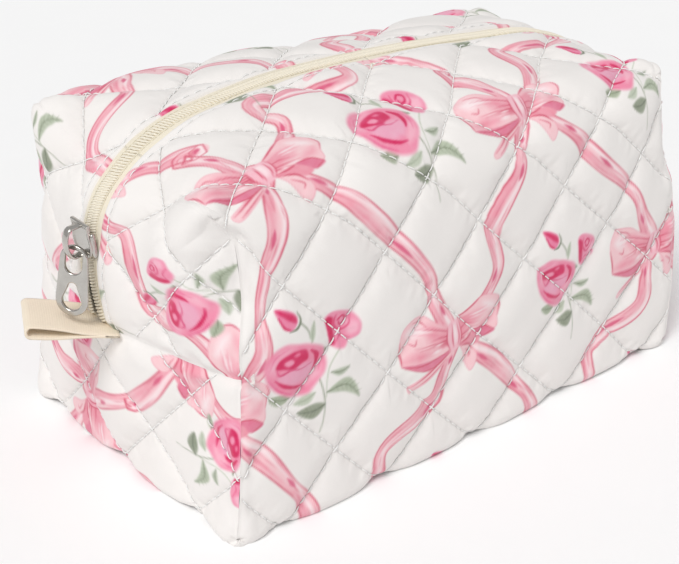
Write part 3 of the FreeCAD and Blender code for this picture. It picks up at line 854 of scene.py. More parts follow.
def paint_sprig():
    """Open rose, half-open rose, bud and leaves; zero is the open rose's middle."""
    art = Sheet((-15, -27), (28, 23))
    art.stroke([(9.4, -5.6), (10.6, -10), (11.2, -15), (10.4, -24)], [0.5, 0.5, 0.3],
               (150, 158, 138), 0.8)
    art.stroke([(17, 2), (13.6, -1.6), (12, -6), (11.6, -12)], [0.4, 0.4, 0.3], GREEN, 0.8)
    art.stroke([(2, 15), (4.6, 12), (5.4, 9.2)], [0.5, 0.5, 0.4], (140, 150, 128), 0.85)
    paint_leaf(art, (11.8, -10.4), (24.4, -15.8), 3.2, 4.8, GREEN, DARK_GREEN)
    paint_leaf(art, (11.2, -14.2), (1.6, -14.8), 1.0, 5.2, (150, 158, 138), (96, 104, 88))
    paint_leaf(art, (-1.5, -8.6), (-9, -7.2), 0.4, 4.0, (176, 186, 162), DARK_GREEN)
    paint_leaf(art, (7.6, -9.4), (0.4, -11.6), 0.6, 3.4, (198, 206, 188), (160, 170, 148))
    paint_leaf(art, (13.4, -4.4), (20.4, -4.2), -0.8, 2.6, (196, 204, 186), DARK_GREEN)
    paint_leaf(art, (6, 7.6), (7.8, 13.6), 0.4, 2.6, (200, 208, 190), (160, 170, 148))
    paint_leaf(art, (8, 3), (13.2, 2.6), 0.4, 2.4, (180, 190, 166), DARK_GREEN)
    art.fill([(-6.6, 20.4), (-3, 20), (0.4, 18), (1, 15.4), (-1.4, 13.4), (-3.8, 14.4),
              (-5.6, 17.4)], ROSE_PINK, 0.95)
    art.fill([(-6.4, 20.3), (-2.6, 19.2), (0.4, 17.2), (0.2, 15.4), (-3, 17.2)], DEEP, 0.9, 0.8)
    art.stroke([(-5.6, 18), (-4, 15), (-2, 13.8)], [0.5, 0.9, 0.5], DEEP, 0.85)
    art.stroke([(1.2, 18.4), (2.2, 15.8), (0.6, 13.6), (-2.2, 13.2)], [0.3, 0.8, 0.9, 0.3],
               DARK_GREEN, 0.75)

    art.fill([(-11.8, 4.6), (-9, 8), (-3.8, 9.6), (1, 8.6), (5, 7.6), (10.6, 4.8), (12, 1),
              (11.6, -3), (8, -6.8), (4.6, -9.2), (-1, -8.4), (-5.6, -5.8), (-10, -1.4)],
             (243, 142, 172), 0.92, 1.2)
    art.fill([(-10.6, 4), (-6, 8), (0, 8), (-6, 5), (-8, 1)], (248, 176, 198), 0.7, 1.8)
    art.fill([(-7, 0.4), (0, 1.6), (6.6, 1.4), (6, -3), (0, -4.4), (-5, -2.6)],
             (240, 168, 194), 0.9, 1.6)
    art.fill([(4, -6.6), (9.6, -4.6), (10.8, -1), (8.6, -0.6), (5.4, -3.6)], (249, 178, 198),
             0.8, 1.4)
    art.fill([(-7.6, 3.2), (-6, 5.4), (-1, 6.6), (3.6, 6.2), (4.4, 3), (1.6, 2.1), (-1, 1.2),
              (-4.6, 2.2)], DEEP, 0.95, 0.7)
    art.fill([(-4.6, 4), (-2, 4.6), (-0.8, 3.2), (-3, 2.6)], (246, 150, 180), 0.95, 0.6)
    art.fill([(-1, 5.6), (1, 6), (1.6, 5), (0, 4.8)], (240, 120, 156), 0.8, 0.6)
    art.stroke([(5.6, 5.4), (8, 3), (7.9, -0.2), (6.8, -1.8)], [0.6, 2.0, 1.4, 0.3], DEEP, 0.9)
    art.stroke([(-7.8, -0.6), (-4.4, -3.4), (0.6, -5.4), (4.4, -5.6)], [0.3, 1.3, 1.1, 0.3],
               DEEP, 0.9)
    art.stroke([(-7.4, 2.6), (-6, 0.6), (-2, 1.2), (2, 0.4), (6.2, 1.2)], [0.3, 0.8, 0.5, 0.2],
               (222, 78, 124), 0.85)
    art.stroke([(-10, 0), (-6, -4.6), (-1, -7.4)], [0.3, 0.9, 0.3], (232, 100, 144), 0.7)
    art.stroke([(-9.8, 3), (-7.6, 6.6), (-2, 8.2)], [0.3, 0.6, 0.2], (236, 116, 156), 0.6)
    art.stroke([(9.4, 4), (10.4, 0.6), (9.2, -3)], [0.2, 0.7, 0.2], (232, 104, 148), 0.7)

    art.fill([(12.5, 13.2), (14.8, 14.6), (18.8, 13.8), (23, 11.6), (25.2, 8.2), (24.6, 4.8),
              (21.4, 3.2), (18.6, 1.6), (15.2, 2.8), (13.2, 5.6), (12.7, 10)],
             (243, 146, 176), 0.94, 0.9)
    art.fill([(12.9, 12.6), (15.2, 12), (15.4, 8), (15.8, 4), (14.4, 3.6), (13.2, 6.4)],
             DEEP, 0.9, 0.7)
    art.fill([(20.5, 9.5), (24.2, 8.6), (23.8, 5.6), (20.6, 5.4)], (249, 182, 202), 0.85, 1.2)
    art.stroke([(17, 11), (18.4, 12), (20, 11), (19.6, 9.4), (18, 9.2), (17.4, 10.2)],
               [0.7, 0.8, 0.6], DEEP, 0.85)
    art.stroke([(16, 13), (15.8, 9.6), (18, 7.4), (21, 8.4), (22, 11)], [0.4, 0.9, 0.7, 0.3],
               (224, 78, 122), 0.85)
    art.stroke([(15.8, 4), (18, 5.4), (21.2, 4)], [0.3, 0.7, 0.3], (226, 88, 130), 0.8)
    return art


def paint_ribbon(art, points, seed):
    """Satin ribbon: a pale band with darker edges, streaks, a highlight and a few twists."""
    dice = np.random.default_rng(seed)
    line = curve(points, steps=10)
    way = np.gradient(line, axis=0)
    side = np.stack([-way[:, 1], way[:, 0]], 1) / np.linalg.norm(way, axis=1, keepdims=True)
    along = np.linspace(0, 1, len(line))
    turn = dice.uniform(0, 6.28)
    half = 2.8 + 0.7 * np.sin(along * 11 + turn)

    def band(place, widths, colour, strength, soft):
        art.stroke(line + side * (half * place)[:, None], widths, colour, strength, soft,
                   smooth_line=False)

    still = 0 * along
    band(still, 2 * half, SATIN, 0.95, 0.5)
    band(0.45 + still, half * (0.7 + 0.4 * np.sin(along * 9 + turn)), MID_PINK, 0.5, 1.4)
    band(0.3 * np.sin(along * 7) - 0.35, half * 0.5, HIGHLIGHT, 0.8, 1.0)
    for place, rate in ((-0.7, 17), (-0.15, 23), (0.2, 13), (0.6, 19)):
        drift = place + 0.12 * np.sin(along * rate * 0.4 + turn)
        band(drift, 0.55 * np.sin(along * rate + turn * rate), MID_PINK, 0.75, 0.3)
        band(drift + 0.12, 0.5 * np.sin(along * rate * 1.3 + rate) - 0.2, LINE_PINK, 0.6, 0.25)
    for sign in (1, -1):
        band(sign * 0.94 + still, 0.3 + 0.3 * np.abs(np.sin(along * 9 + turn * sign)),
             LINE_PINK, 0.75, 0.3)
    for centre in (0.18, 0.55, 0.86):
        place = centre + dice.uniform(-0.05, 0.05)
        span = (along > place - 0.05) & (along < place + 0.05)
        if span.sum() > 3:
            lens = (line + side * (half * 0.3 * dice.choice([-1, 1]))[:, None])[span]
            art.stroke(lens, [0.2, 1.2, 1.6, 1.0, 0.2], (222, 98, 132), 0.8, 0.4,
                       smooth_line=False)


ROW, COLUMN = 62.0, 94.0    # spacing of the print's rows, and of bows along a row
FIRST_BOW = (84.0, 41.0)
SPRIG_FROM_BOW = (45.0, 4.0)
NUDGED_BOWS = {(1, 0): (-9, 6), (1, -1): (-12, 12), (-2, -1): (-7, 7)}
NUDGED_SPRIGS = {(0, -1): (-15, 6), (1, -1): (-12, 10), (1, 0): (-8, 8), (1, -2): (-22, 13),
                 (-1, -2): (-20, 11)}
SPRIG_SIZES = {(0, -1): (1, 1), (0, 0): (0.76, 0.97), (1, -1): (0.87, 1.2), (1, 0): (0.74, 1.2),
               (1, -2): (0.62, 1.0), (-1, -2): (0.76, 0.86)}
BACK_TOP_ROW = -4           # from this row on, the print over the top's back half is shifted
BACK_TOP_SHIFT = (41, -24)


def motif_place(row, column, nudges, from_bow=(0, 0)):
    """Place on the print's brick pattern, with the photograph's departures from it."""
    nudge = nudges.get((row, column), BACK_TOP_SHIFT if row <= BACK_TOP_ROW else (0, 0))
    brick = (COLUMN * (column + 0.5 * (row % 2)), ROW * row)
    return np.array(FIRST_BOW) + brick + from_bow + nudge


def bow_place(row, column):
    return motif_place(row, column, NUDGED_BOWS)


def sprig_place(row, column):
    return motif_place(row, column, NUDGED_SPRIGS, SPRIG_FROM_BOW)


def paint_cloth():
    """The whole printed cloth, as colours over (s, t)."""
    art = Sheet((-ARM_LOW - 2, T_LAST - 2), (LENGTH + ARM_LOW + 2, T_TOP + 2))
    rows, columns = range(-5, 3), range(-3, 3)
    for row in rows:
        for column in columns:
            bow = bow_place(row, column)
            above = column if row % 2 == 0 else column + 1
            right = bow_place(row + 1, above)
            left = bow_place(row + 1, above - 1)
            seed = (row + 50) * 100 + column + 50
            paint_ribbon(art, [bow + (11, 8), bow + (18.5, 19), bow + (18, 34),
                               right + (-8, -20), right + (-4.5, -10), right + (-1, -2)], seed)
            paint_ribbon(art, [bow + (-2, 4), bow + (-7, 14), bow + (-12, 27),
                               left + (28, -26), left + (18, -14), left + (6, -4)], seed + 7000)
    bow_art, sprig_art = paint_bow(), paint_sprig()
    for row in rows:
        for column in columns:
            art.stamp(bow_art, bow_place(row, column))
            size = SPRIG_SIZES.get((row, column), (0.85, 0.95))
            art.stamp(sprig_art.scaled(*size), sprig_place(row, column))
    art.soften(max(1, round(STEP * PAINT)))
    return art


def needle_hole_shade(flat):
    """Mask of painted shade: how much a place is a needle's hole, between two stitches of a quilting
    line.
    """
    s, t = flat[..., 0], flat[..., 1]
    between = np.cos(s / STITCH_STEP * 2 * math.pi) * -0.5 + 0.5
    total = 0.0
    for phase in quilt_phase(s, t):
        to_line = np.abs(phase - np.round(phase)) * QUILT_PITCH / math.sqrt(2)
        total = total + bell(to_line, 0.5) * between ** 3
    return np.clip(total, 0, 1) * in_cloth(s, t)


def cloth_colours(art, flat):
    """Print's colour at flat positions, in linear numbers, with the dye's unevenness and painted
    shade in the needle holes.
    """
    spot = (flat - art.low) * PAINT
    i = np.clip(spot[..., 0].astype(int), 0, art.cover.shape[0] - 2)
    j = np.clip(spot[..., 1].astype(int), 0, art.cover.shape[1] - 2)
    fi, fj = spot[..., 0] - i, spot[..., 1] - j

    def mix(field):
        extra = (1,) * (field.ndim - 2)
        a, b = fi.reshape(*fi.shape, *extra), fj.reshape(*fj.shape, *extra)
        return ((field[i, j] * (1 - a) + field[i + 1, j] * a) * (1 - b)
                + (field[i, j + 1] * (1 - a) + field[i + 1, j + 1] * a) * b)

    cover = mix(art.cover)
    tinted = mix(art.rgb * art.cover[..., None])
    patchy = 0.5 + 0.5 * NOISE(np.stack([flat[..., 0], flat[..., 1], 0 * flat[..., 0]], -1), 1.9)
    washed = 0.5 + 0.5 * NOISE(np.stack([flat[..., 1], flat[..., 0], 0 * flat[..., 0]], -1), 0.8)
    keep = 0.84 + 0.12 * patchy + 0.08 * washed
    ground = np.array([244.0, 240.0, 237.0])
    colour = ground * (1 - cover * keep)[..., None] + tinted * keep[..., None]
    # painted shade: the cloth is darkened by up to a tenth in the needle holes
    colour = colour * (1 - 0.10 * needle_hole_shade(flat))[..., None]
    return linear(np.clip(colour, 0, 255) / 255)


# ---- outer cloth and lining
outer = Cloth(STEP, 0.0, quilt_height)
ART = paint_cloth()
PRINT = cloth_colours(ART, outer.flat)


FOLD_LAP = 10.0             # what a flap's cloth runs on inside the wall, past its fold
LAP_DEPTH = 0.7             # how far that lies from the wall's cloth


def quarter_cells(cloth, front, near, lap=0.0):
    """Cells of one quarter of the top, which lifts with its flap."""
    rows = cloth.mid_t > HEIGHT - lap if front else cloth.mid_t < T_BACK_TOP + lap
    if near:
        return rows & (cloth.mid_s > FLAP_S) & (cloth.mid_s < HALF_L)
    return rows & (cloth.mid_s > HALF_L) & (cloth.mid_s < LENGTH - FLAP_S)


def lapped_points(cloth, front, depth):
    """Cloth points of a flap, whose lap past the fold lies a little off the wall's cloth."""
    past = HEIGHT - cloth.flat[..., 1] if front else cloth.flat[..., 1] - T_BACK_TOP
    return cloth.points - cloth.normal * (depth * smooth(past / 2.0))[..., None]


QUARTERS = [(side, end) for side in ("front", "back") for end in ("near", "far")]


def lift_with_flap(piece):
    """Bakes the piece's placement into its mesh."""
    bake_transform(piece)


def fixed_cells(cloth):
    lifted = np.zeros(cloth.cells.shape, bool)
    for side, end in QUARTERS:
        lifted |= quarter_cells(cloth, side == "front", end == "near")
    return ~lifted


def cloth_piece(piece, slot, fill, *nodes):
    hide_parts(*nodes)


def build_cloth(cloth, names, nodes, slot, fill, lap_depth, look):
    """One layer: the walls as one piece, and the top as four, one for each quarter."""
    body = cloth.part(names[0], fixed_cells(cloth), *look)
    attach(body, "root")
    cloth_piece(body, slot, fill, *[f"{node}_{wall}" for node in nodes for wall in
                                    ("front", "back", "bottom", "near_end", "far_end")])
    for side, end in QUARTERS:
        front = side == "front"
        top = cloth.part(f"{names[1]}_{side}_{end}",
                         quarter_cells(cloth, front, end == "near", FOLD_LAP), *look,
                         points=lapped_points(cloth, front, lap_depth))
        lift_with_flap(top)
        cloth_piece(top, slot, fill, *[f"{node}_{side}_flap" for node in nodes])


def lining_height(s, t, points):
    """The lining is quilted too, and swells inward."""
    swell = quilt_swell(s, t, 2.6)[2]
    to_seam, to_zip = edge_distances(s, t)
    height = -1.3 * swell * smooth(to_seam / 7) * smooth(to_zip / 8)
    return height + 0.4 * NOISE(points, 26.0)


build_cloth(outer, ("quilted_body", "quilted_top"), ("outer", "batting"), "printed_cotton", 0.5,
            LAP_DEPTH, (COTTON, PRINT))
lining = Cloth(max(STEP, 1.0), -CLOTH_THICK, lining_height)
build_cloth(lining, ("lining_body", "lining_top"), ("lining",), "lining", 0.3, -LAP_DEPTH,
            (LINING,))


# ---- many small solids on a surface
def unit(v):
    return v / np.maximum(np.linalg.norm(v, axis=-1, keepdims=True), 1e-12)


def run_length(path):
    """Length of a path up to each of its points."""
    return np.concatenate([[0], np.cumsum(np.linalg.norm(np.diff(path, axis=0), axis=1))])


def scatter(points, faces, origins, along, normals):
    """Copies of one small solid, at origins, with its x along and its z up the normals."""
    along = unit(along)
    side = unit(np.cross(normals, along))
    up = np.cross(along, side)
    placed = (origins[:, None] + points[None, :, :1] * along[:, None]
              + points[None, :, 1:2] * side[:, None] + points[None, :, 2:] * up[:, None])
    shift = np.arange(len(origins))[:, None, None] * len(points)
    return placed.reshape(-1, 3), (faces[None] + shift).reshape(-1, 4)


def stitch_solid(length, radius):
    """One stitch: a short thread that rises a little between its two holes."""
    x = np.array([-0.5, -0.42, -0.2, 0.2, 0.42, 0.5]) * length
    rise = radius * np.array([-1.6, -0.5, 0.3, 0.3, -0.5, -1.6])
    path = np.stack([x, 0 * x, rise], 1)
    return tube(path, radius * np.array([0.5, 0.85, 1, 1, 0.85, 0.5]), 6)


def strip_solid(grid, normals, thick):
    """Closed solid between a grid of points and the same grid lower by thick."""
    rows, columns = grid.shape[:2]
    count = rows * columns
    points = np.concatenate([grid.reshape(-1, 3), (grid - normals * thick).reshape(-1, 3)])
    index = np.arange(count).reshape(rows, columns)
    a, b, c, d = index[:-1, :-1], index[1:, :-1], index[1:, 1:], index[:-1, 1:]
    top = np.stack([a, b, c, d], -1).reshape(-1, 4)
    under = np.stack([a, d, c, b], -1).reshape(-1, 4) + count
    rim = np.concatenate([index[:, 0][::-1], index[0, 1:], index[1:, -1], index[-1, 1:-1][::-1]])
    after = np.roll(rim, -1)
    side = np.stack([rim, after, after + count, rim + count], 1)
    return points, np.concatenate([top, under, side])


# ---- quilting thread and topstitching
def quilt_stitches(rising):
    """Flat middles and directions of the stitches of one family of quilting lines."""
    middles = []
    way = np.array([1, 1 if rising else -1]) / math.sqrt(2)
    first, last = math.ceil(-ARM_LOW / STITCH_STEP), math.floor((LENGTH + ARM_LOW) / STITCH_STEP)
    for k in range(-12, 14):
        s = np.arange(first, last + 1) * STITCH_STEP
        if rising:
            t = s - QUILT_FALL - QUILT_PITCH * k
        else:
            t = QUILT_RISE + QUILT_PITCH * k - s
        keep = in_cloth(s, t)
        middles.append(np.stack([s, t], 1)[keep])
    middles = np.concatenate(middles)
    return middles, np.broadcast_to(way, middles.shape)


def topstitches():
    """Stitches beside the zip, along both folded edges of the cloth."""
    s = np.arange(1 - ARM_TOP, LENGTH + ARM_TOP - 1, STITCH + STITCH_GAP)
    middles = [np.stack([s, np.full(len(s), t)], 1)
               for t in (T_TOP - TOPSTITCH, T_LAST + TOPSTITCH)]
    middles = np.concatenate(middles)
    return middles, np.broadcast_to(np.array([1.0, 0.0]), middles.shape)


def all_stitches():
    """Middles, directions and lift of every stitch on the outer cloth."""
    rising, falling, top = quilt_stitches(True), quilt_stitches(False), topstitches()
    lifts = [np.full(len(part[0]), lift) for part, lift in
             ((rising, 0.30), (falling, 0.20), (top, 0.16))]
    middles = np.concatenate([rising[0], falling[0], top[0]])
    ways = np.concatenate([rising[1], falling[1], top[1]])
    return middles, ways, np.concatenate(lifts)


def stitch_frames(middles, ways, lifts):
    def on_cloth(flat):
        return outer.at(flat[:, 0], flat[:, 1])

    points, normals = on_cloth(middles)
    reach = ways * 0.8
    along = on_cloth(middles + reach)[0] - on_cloth(middles - reach)[0]
    origins = points + normals * lifts[:, None]
    origins[:, 2] = np.maximum(origins[:, 2], REST_CLEARANCE + 0.45)
    return origins, along, normals


def build_stitches():
    middles, ways, lifts = all_stitches()
    frames = stitch_frames(middles, ways, lifts)
    solid = stitch_solid(STITCH, THREAD_R)
    s, t = middles[:, 0], middles[:, 1]

    def stitches(name, chosen):
        piece = mesh_object(name, *scatter(*solid, *(part[chosen] for part in frames)), THREAD)
        return piece

    lifted = np.zeros(len(s), bool)
    for side, end in QUARTERS:
        rows = t > HEIGHT if side == "front" else t < T_BACK_TOP
        if end == "near":
            chosen = rows & (s > FLAP_S) & (s <= HALF_L)
        else:
            chosen = rows & (s > HALF_L) & (s < LENGTH - FLAP_S)
        lifted |= chosen
        lift_with_flap(stitches(f"stitches_top_{side}_{end}", chosen))
    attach(stitches("stitches_body", ~lifted), "root")


build_stitches()


# ---- zip: tapes and coils
TAPE_WIDE = 10.4
TAPE_DEEP = 0.5             # tape's face below the cloth's form
TAPE_THICK = 0.8
TOOTH_PITCH = 1.0
TOOTH_REACH = 2.5
OPEN_FROM = 90.0            # height, before the crown's lift, where the chain parts
OPEN_HALF = 1.9             # half gap of the open chain at the end seam


def chain_gap(s):
    """Half gap between the coils: the near end is open below the slider."""
    down = np.clip((OPEN_FROM - (HEIGHT + s)) / (OPEN_FROM - END_SEAM), 0, 1)
    return np.where(s < 0, OPEN_HALF * down ** 0.8, 0.0)


def zip_surface(s, v):
    """Point and normal of the bag's form near the zip; v is across it, minus to the front."""
    s, v = np.broadcast_arrays(np.asarray(s, float), np.asarray(v, float))
    t = np.where(v < 0, HEIGHT + HALF_W + v, T_BACK_TOP - HALF_W + v)
    step = 0.3
    along = base_points(s + step, t) - base_points(s - step, t)
    across = base_points(s, t + step) - base_points(s, t - step)
    return base_points(s, t), unit(np.cross(along, across))


ZIP_SPANS = {"near_end": (-ARM_TOP, FLAP_S), "near": (FLAP_S, HALF_L),
             "far": (HALF_L, LENGTH - FLAP_S), "far_end": (LENGTH - FLAP_S, LENGTH + ARM_TOP)}
ZIP_NODES = {"near_end": "near", "near": "flap", "far": "flap", "far_end": "far"}


def zip_piece(piece, span):
    """Middle spans of the zip have their placement baked into their meshes, and its ends join the
    root body.
    """
    if span in ("near", "far"):
        lift_with_flap(piece)
    else:
        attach(piece, "root")


def build_tape(side, span):
    sign = -1 if side == "front" else 1
    low, high = ZIP_SPANS[span]
    s = np.linspace(low, high, round((high - low) / 1.0) + 1)[:, None]
    share = np.linspace(0, 1, 15)[None]
    gap = chain_gap(s)
    v = (0.12 + gap) * (1 - share) + TAPE_WIDE * share
    points, normals = zip_surface(s, sign * v)
    wave = 0.12 * NOISE(points, 6.0)
    rib = 0.16 * bell(v - gap - 4.0, 0.35)
    depth = TAPE_DEEP + 0.9 * smooth((v - 4.5) / 4.5) + wave - rib
    grid = points - normals * depth[..., None]
    if sign > 0:
        grid, normals = grid[:, ::-1], normals[:, ::-1]
        v = v[:, ::-1]
    mesh = strip_solid(grid, normals, TAPE_THICK)
    piece = mesh_object(f"zip_tape_{side}_{span}_cloth", *mesh, TAPE)
    flat = np.stack([np.broadcast_to(s, v.shape), sign * v], -1).reshape(-1, 2)
    add_flat_map(piece.data, np.concatenate([flat, flat]))
    zip_piece(piece, span)
    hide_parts(f"zip_tape_{side}_{ZIP_NODES[span]}")


def build_coil(side, span):
    """Coil's turns as bars across the zip, the two sides' bars in between each other."""
    sign = -1 if side == "front" else 1
    low, high = ZIP_SPANS[span]
    low_gap = 1.2 if span == "near_end" else 0      # bare tape at the zip's two ends
    high_gap = 1.2 if span == "far_end" else 0
    first = math.ceil((low + low_gap) / TOOTH_PITCH)
    last = math.floor((high - high_gap) / TOOTH_PITCH - 1e-6)
    s = (np.arange(first, last + 1) + (0 if sign < 0 else 0.5)) * TOOTH_PITCH
    gap = chain_gap(s)
    middle = gap + TOOTH_REACH / 2
    points, normals = zip_surface(s, sign * middle)
    inner = zip_surface(s, sign * (gap + 0.1))[0]
    across = points - inner
    x = np.array([-0.56, -0.48, -0.25, 0.1, 0.38, 0.5]) * TOOTH_REACH
    rise = np.array([-0.55, -0.2, 0.0, 0.0, -0.2, -0.6])
    path = np.stack([x, 1.1 * x / TOOTH_REACH, rise - 0.25], 1)
    solid = tube(path, np.array([0.28, 0.36, 0.42, 0.42, 0.36, 0.28]), 7)
    mesh = scatter(*solid, points, across, normals)
    piece = mesh_object(f"zip_coil_{side}_{span}_turns", *mesh, COIL)
    zip_piece(piece, span)
    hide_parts(f"zip_coil_{side}_{ZIP_NODES[span]}")
    sewn = sign * (gap[::2] + TOOTH_REACH + 0.5)
    origins, normals = zip_surface(s[::2], sewn)
    ahead = zip_surface(s[::2] + 0.3, sewn)[0]
    threads = scatter(*stitch_solid(2.2, 0.17), origins - normals * (TAPE_DEEP - 0.12),
                      ahead - origins, normals)
    thread = mesh_object(f"zip_thread_{side}_{span}", *threads, TAPE_THREAD)
    zip_piece(thread, span)


for zip_side in ("front", "back"):
    for zip_span in ZIP_SPANS:
        build_tape(zip_side, zip_span)
        build_coil(zip_side, zip_span)


# ---- slider, bridge and puller
JOINTS = {joint["name"]: joint for joint in frame["record"]["behaviour"]["joints"]}
SLIDE_UP = unit(np.array(JOINTS["slider_travel"]["axis"], float))
SLIDE_OUT = np.cross(SLIDE_UP, (0, 1, 0))
if SLIDE_OUT[0] > 0:
    SLIDE_OUT = -SLIDE_OUT
PIVOT = np.array(JOINTS["puller_swing"]["pos_m"], float) / MM
PIVOT_OUT, PIVOT_UP = 5.3, -1.2         # pivot from the slider's middle, as the CAD has it
SLIDER_MIDDLE = PIVOT - SLIDE_OUT * PIVOT_OUT - SLIDE_UP * PIVOT_UP
PLATE_TOP = 2.9                         # outer plate's face, out from the cloth


def on_slider(points):
    """From (across, up, out) on the slider to the bag's frame."""
    points = np.asarray(points, float)
    across = np.array([0, 1, 0])
    return (SLIDER_MIDDLE + points[..., :1] * across + points[..., 1:2] * SLIDE_UP
            + points[..., 2:] * SLIDE_OUT)


def dished_plate(outline, rings):
    """Plate from an outline scaled through rings of (share of size, height)."""
    outline = np.asarray(outline, float)
    count = len(outline)
    points = [np.concatenate([outline * share, np.full((count, 1), height)], 1)
              for share, height in rings]
    middles = [[0, 0, rings[0][1]], [0, 0, rings[-1][1]]]
    return np.concatenate(points + [np.array(middles)]), ring_faces(len(rings), count)


def slider_outline():
    """Shield shape, seen from outside: (across, up)."""
    half = [(0, -6.2), (1.6, -5.9), (3.4, -4.6), (4.7, -2.2), (4.9, 0.2), (4.3, 2.6),
            (4.2, 4.4), (4.5, 6.0), (4.2, 6.25), (2, 6.25), (0, 6.25)]
    right = curve(half, steps=4)
    left = right[1:-1][::-1] * (-1, 1)
    outline = np.concatenate([right, left])
    return outline[: len(outline) // 2 * 2]


def metal_piece(piece, body, node):
    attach(piece, body)
    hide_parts(node)


def build_slider():
    outline = slider_outline()
    parts = Bundle()
    rim = [(0.97, 1.75), (1.0, 1.95), (1.0, 2.75), (0.985, 2.95), (0.93, 3.02), (0.87, 2.92),
           (0.80, 2.50), (0.55, 2.32), (0.25, 2.28)]
    points, faces = dished_plate(outline, rim)
    parts.add(on_slider(points), faces)
    under = [(0.93, -2.75), (1.0, -2.6), (1.0, -1.75), (0.96, -1.6)]
    points, faces = dished_plate(outline, under)
    points[:, 0] *= 0.7
    points[:, 1] = (points[:, 1] + 6.2) * 0.7 - 6.2
    points[:, 2] -= 0.9 + 0.28 * (points[:, 1] + 6.2)      # the zip bends away inwards above
    parts.add(on_slider(points), faces)
    for side in (-1, 1):
        path = on_slider([(side * 4.55, up, 1.6) for up in np.linspace(-4.6, 3.4, 9)])
        parts.add(*tube(path, [0.3, 0.5, 0.55, 0.55, 0.55, 0.55, 0.55, 0.5, 0.3], 8,
                        up=SLIDE_OUT, flat=1.7))
    post = on_slider([(0, -3.6, out) for out in np.linspace(-3.4, 2.2, 5)])
    parts.add(*tube(post, 0.36, 10, up=(0, 1, 0)))
    metal_piece(parts.build("slider_plates", NICKEL), "slider", "zip_slider")


def build_bridge():
    """Arched loop that the puller hangs on: a round tube pressed to a band."""
    reach, high, knee, middle = 4.7, 5.3, 3.0, 0.6
    turn = np.linspace(-math.pi / 2, math.pi / 2, 25)
    arc = np.stack([0 * turn, middle + reach * np.sin(turn),
                    PLATE_TOP + knee + (high - knee) * np.cos(turn)], 1)
    foot_low = [(0, middle - reach, PLATE_TOP - 0.5), (0, middle - reach, PLATE_TOP + 1.2)]
    foot_high = [(0, middle + reach, PLATE_TOP + 1.2), (0, middle + reach, PLATE_TOP - 0.5)]
    path = curve(np.concatenate([foot_low, arc, foot_high]), steps=3)
    loop_points, loop_faces = tube(on_slider(path), 1.35, 16, up=(0, 1, 0), flat=1.0)
    centre = np.repeat(on_slider(path), 16, axis=0)
    offset = loop_points[:-2] - centre
    across = offset @ np.array([0, 1.0, 0])
    squeezed = centre + offset * 0.46
    squeezed[:, 1] = centre[:, 1] + np.sign(across) * np.minimum(np.abs(across) * 1.08, 1.4)
    loop_points[:-2] = squeezed
    bridge = mesh_object("slider_bridge_loop", loop_points, loop_faces, NICKEL)
    metal_piece(bridge, "slider", "slider_bridge")


def inward(loop):
    """Unit normals of a flat closed loop that point to its left."""
    way = np.roll(loop, -1, 0) - np.roll(loop, 1, 0)
    return unit(np.stack([-way[:, 1], way[:, 0]], 1))


def holed_plate(name, outer_loop, holes, thick, edge, place, material):
    """Plate with rounded edges; the outline runs anticlockwise and its holes clockwise."""
    rounds = [(edge, -thick / 2), (edge * 0.3, -thick / 2 + edge * 0.3), (0, -thick / 2 + edge),
              (0, thick / 2 - edge), (edge * 0.3, thick / 2 - edge * 0.3), (edge, thick / 2)]
    mesh = bmesh.new()
    caps = ([], [])
    for loop in [outer_loop] + holes:
        left = inward(loop)
        rings = []
        for inset, height in rounds:
            flat = loop + left * inset
            spots = place(np.concatenate([np.full((len(flat), 1), height), flat], 1))
            rings.append([mesh.verts.new(spot * MM) for spot in spots])
        count = len(loop)
        for low, high in zip(rings[:-1], rings[1:]):
            for i in range(count):
                j = (i + 1) % count
                mesh.faces.new((low[i], low[j], high[j], high[i]))
        for cap, ring in ((caps[0], rings[0]), (caps[1], rings[-1])):
            for i in range(count):
                cap.append(mesh.edges.get((ring[i], ring[(i + 1) % count])))
    for cap in caps:
        bmesh.ops.triangle_fill(mesh, use_beauty=True, use_dissolve=False, edges=cap)
    bmesh.ops.recalc_face_normals(mesh, faces=mesh.faces)
    for face in mesh.faces:
        face.smooth = len(face.verts) == 4
    data = bpy.data.meshes.new(name)
    mesh.to_mesh(data)
    mesh.free()
    data.materials.append(material)
    return add_object(name, data)


def capsule_loop(half_top, half_low, top, low, corner=None):
    """Closed outline, anticlockwise, with round ends; corner squares off the upper one."""
    turn = np.linspace(0, math.pi, 17)
    low_end = np.stack([-half_low * np.cos(turn), low + half_low * (1 - np.sin(turn))], 1)
    if corner is None:
        up_end = np.stack([half_top * np.cos(turn), top - half_top * (1 - np.sin(turn))], 1)
    else:
        quarter = np.linspace(0, math.pi / 2, 7)
        right = np.stack([half_top - corner * (1 - np.cos(quarter)),
                          top - corner * (1 - np.sin(quarter))], 1)
        up_end = np.concatenate([right, right[::-1] * (-1, 1)])
    return np.concatenate([low_end, up_end])


PULLER_TOP, PULLER_LONG = 0.75, 22.5    # top edge over the pivot, and whole length
PULLER_THICK, PULLER_EDGE = 1.3, 0.35
PULLER_TURN, PULLER_LEAN = 32.0, 8.0    # degrees, about its length and out from the end


def build_puller():
    low = PULLER_TOP - PULLER_LONG
    outline = capsule_loop(4.5, 5.25, PULLER_TOP, low)
    eye = capsule_loop(2.8, 2.8, PULLER_TOP - 1.5, PULLER_TOP - 9.1, corner=1.1)[::-1]
    drop = capsule_loop(1.6, 3.2, low + 10.6, low + 1.9)[::-1]
    lean = Matrix.Rotation(math.radians(PULLER_LEAN), 3, "Y")
    turn = np.array(lean @ Matrix.Rotation(math.radians(PULLER_TURN), 3, "Z"))

    def place(points):
        return PIVOT + points @ turn.T

    puller = holed_plate("puller_plate", outline, [eye, drop], PULLER_THICK, PULLER_EDGE, place,
                         NICKEL)
    metal_piece(puller, "puller", "puller")


build_slider()
build_bridge()
build_puller()


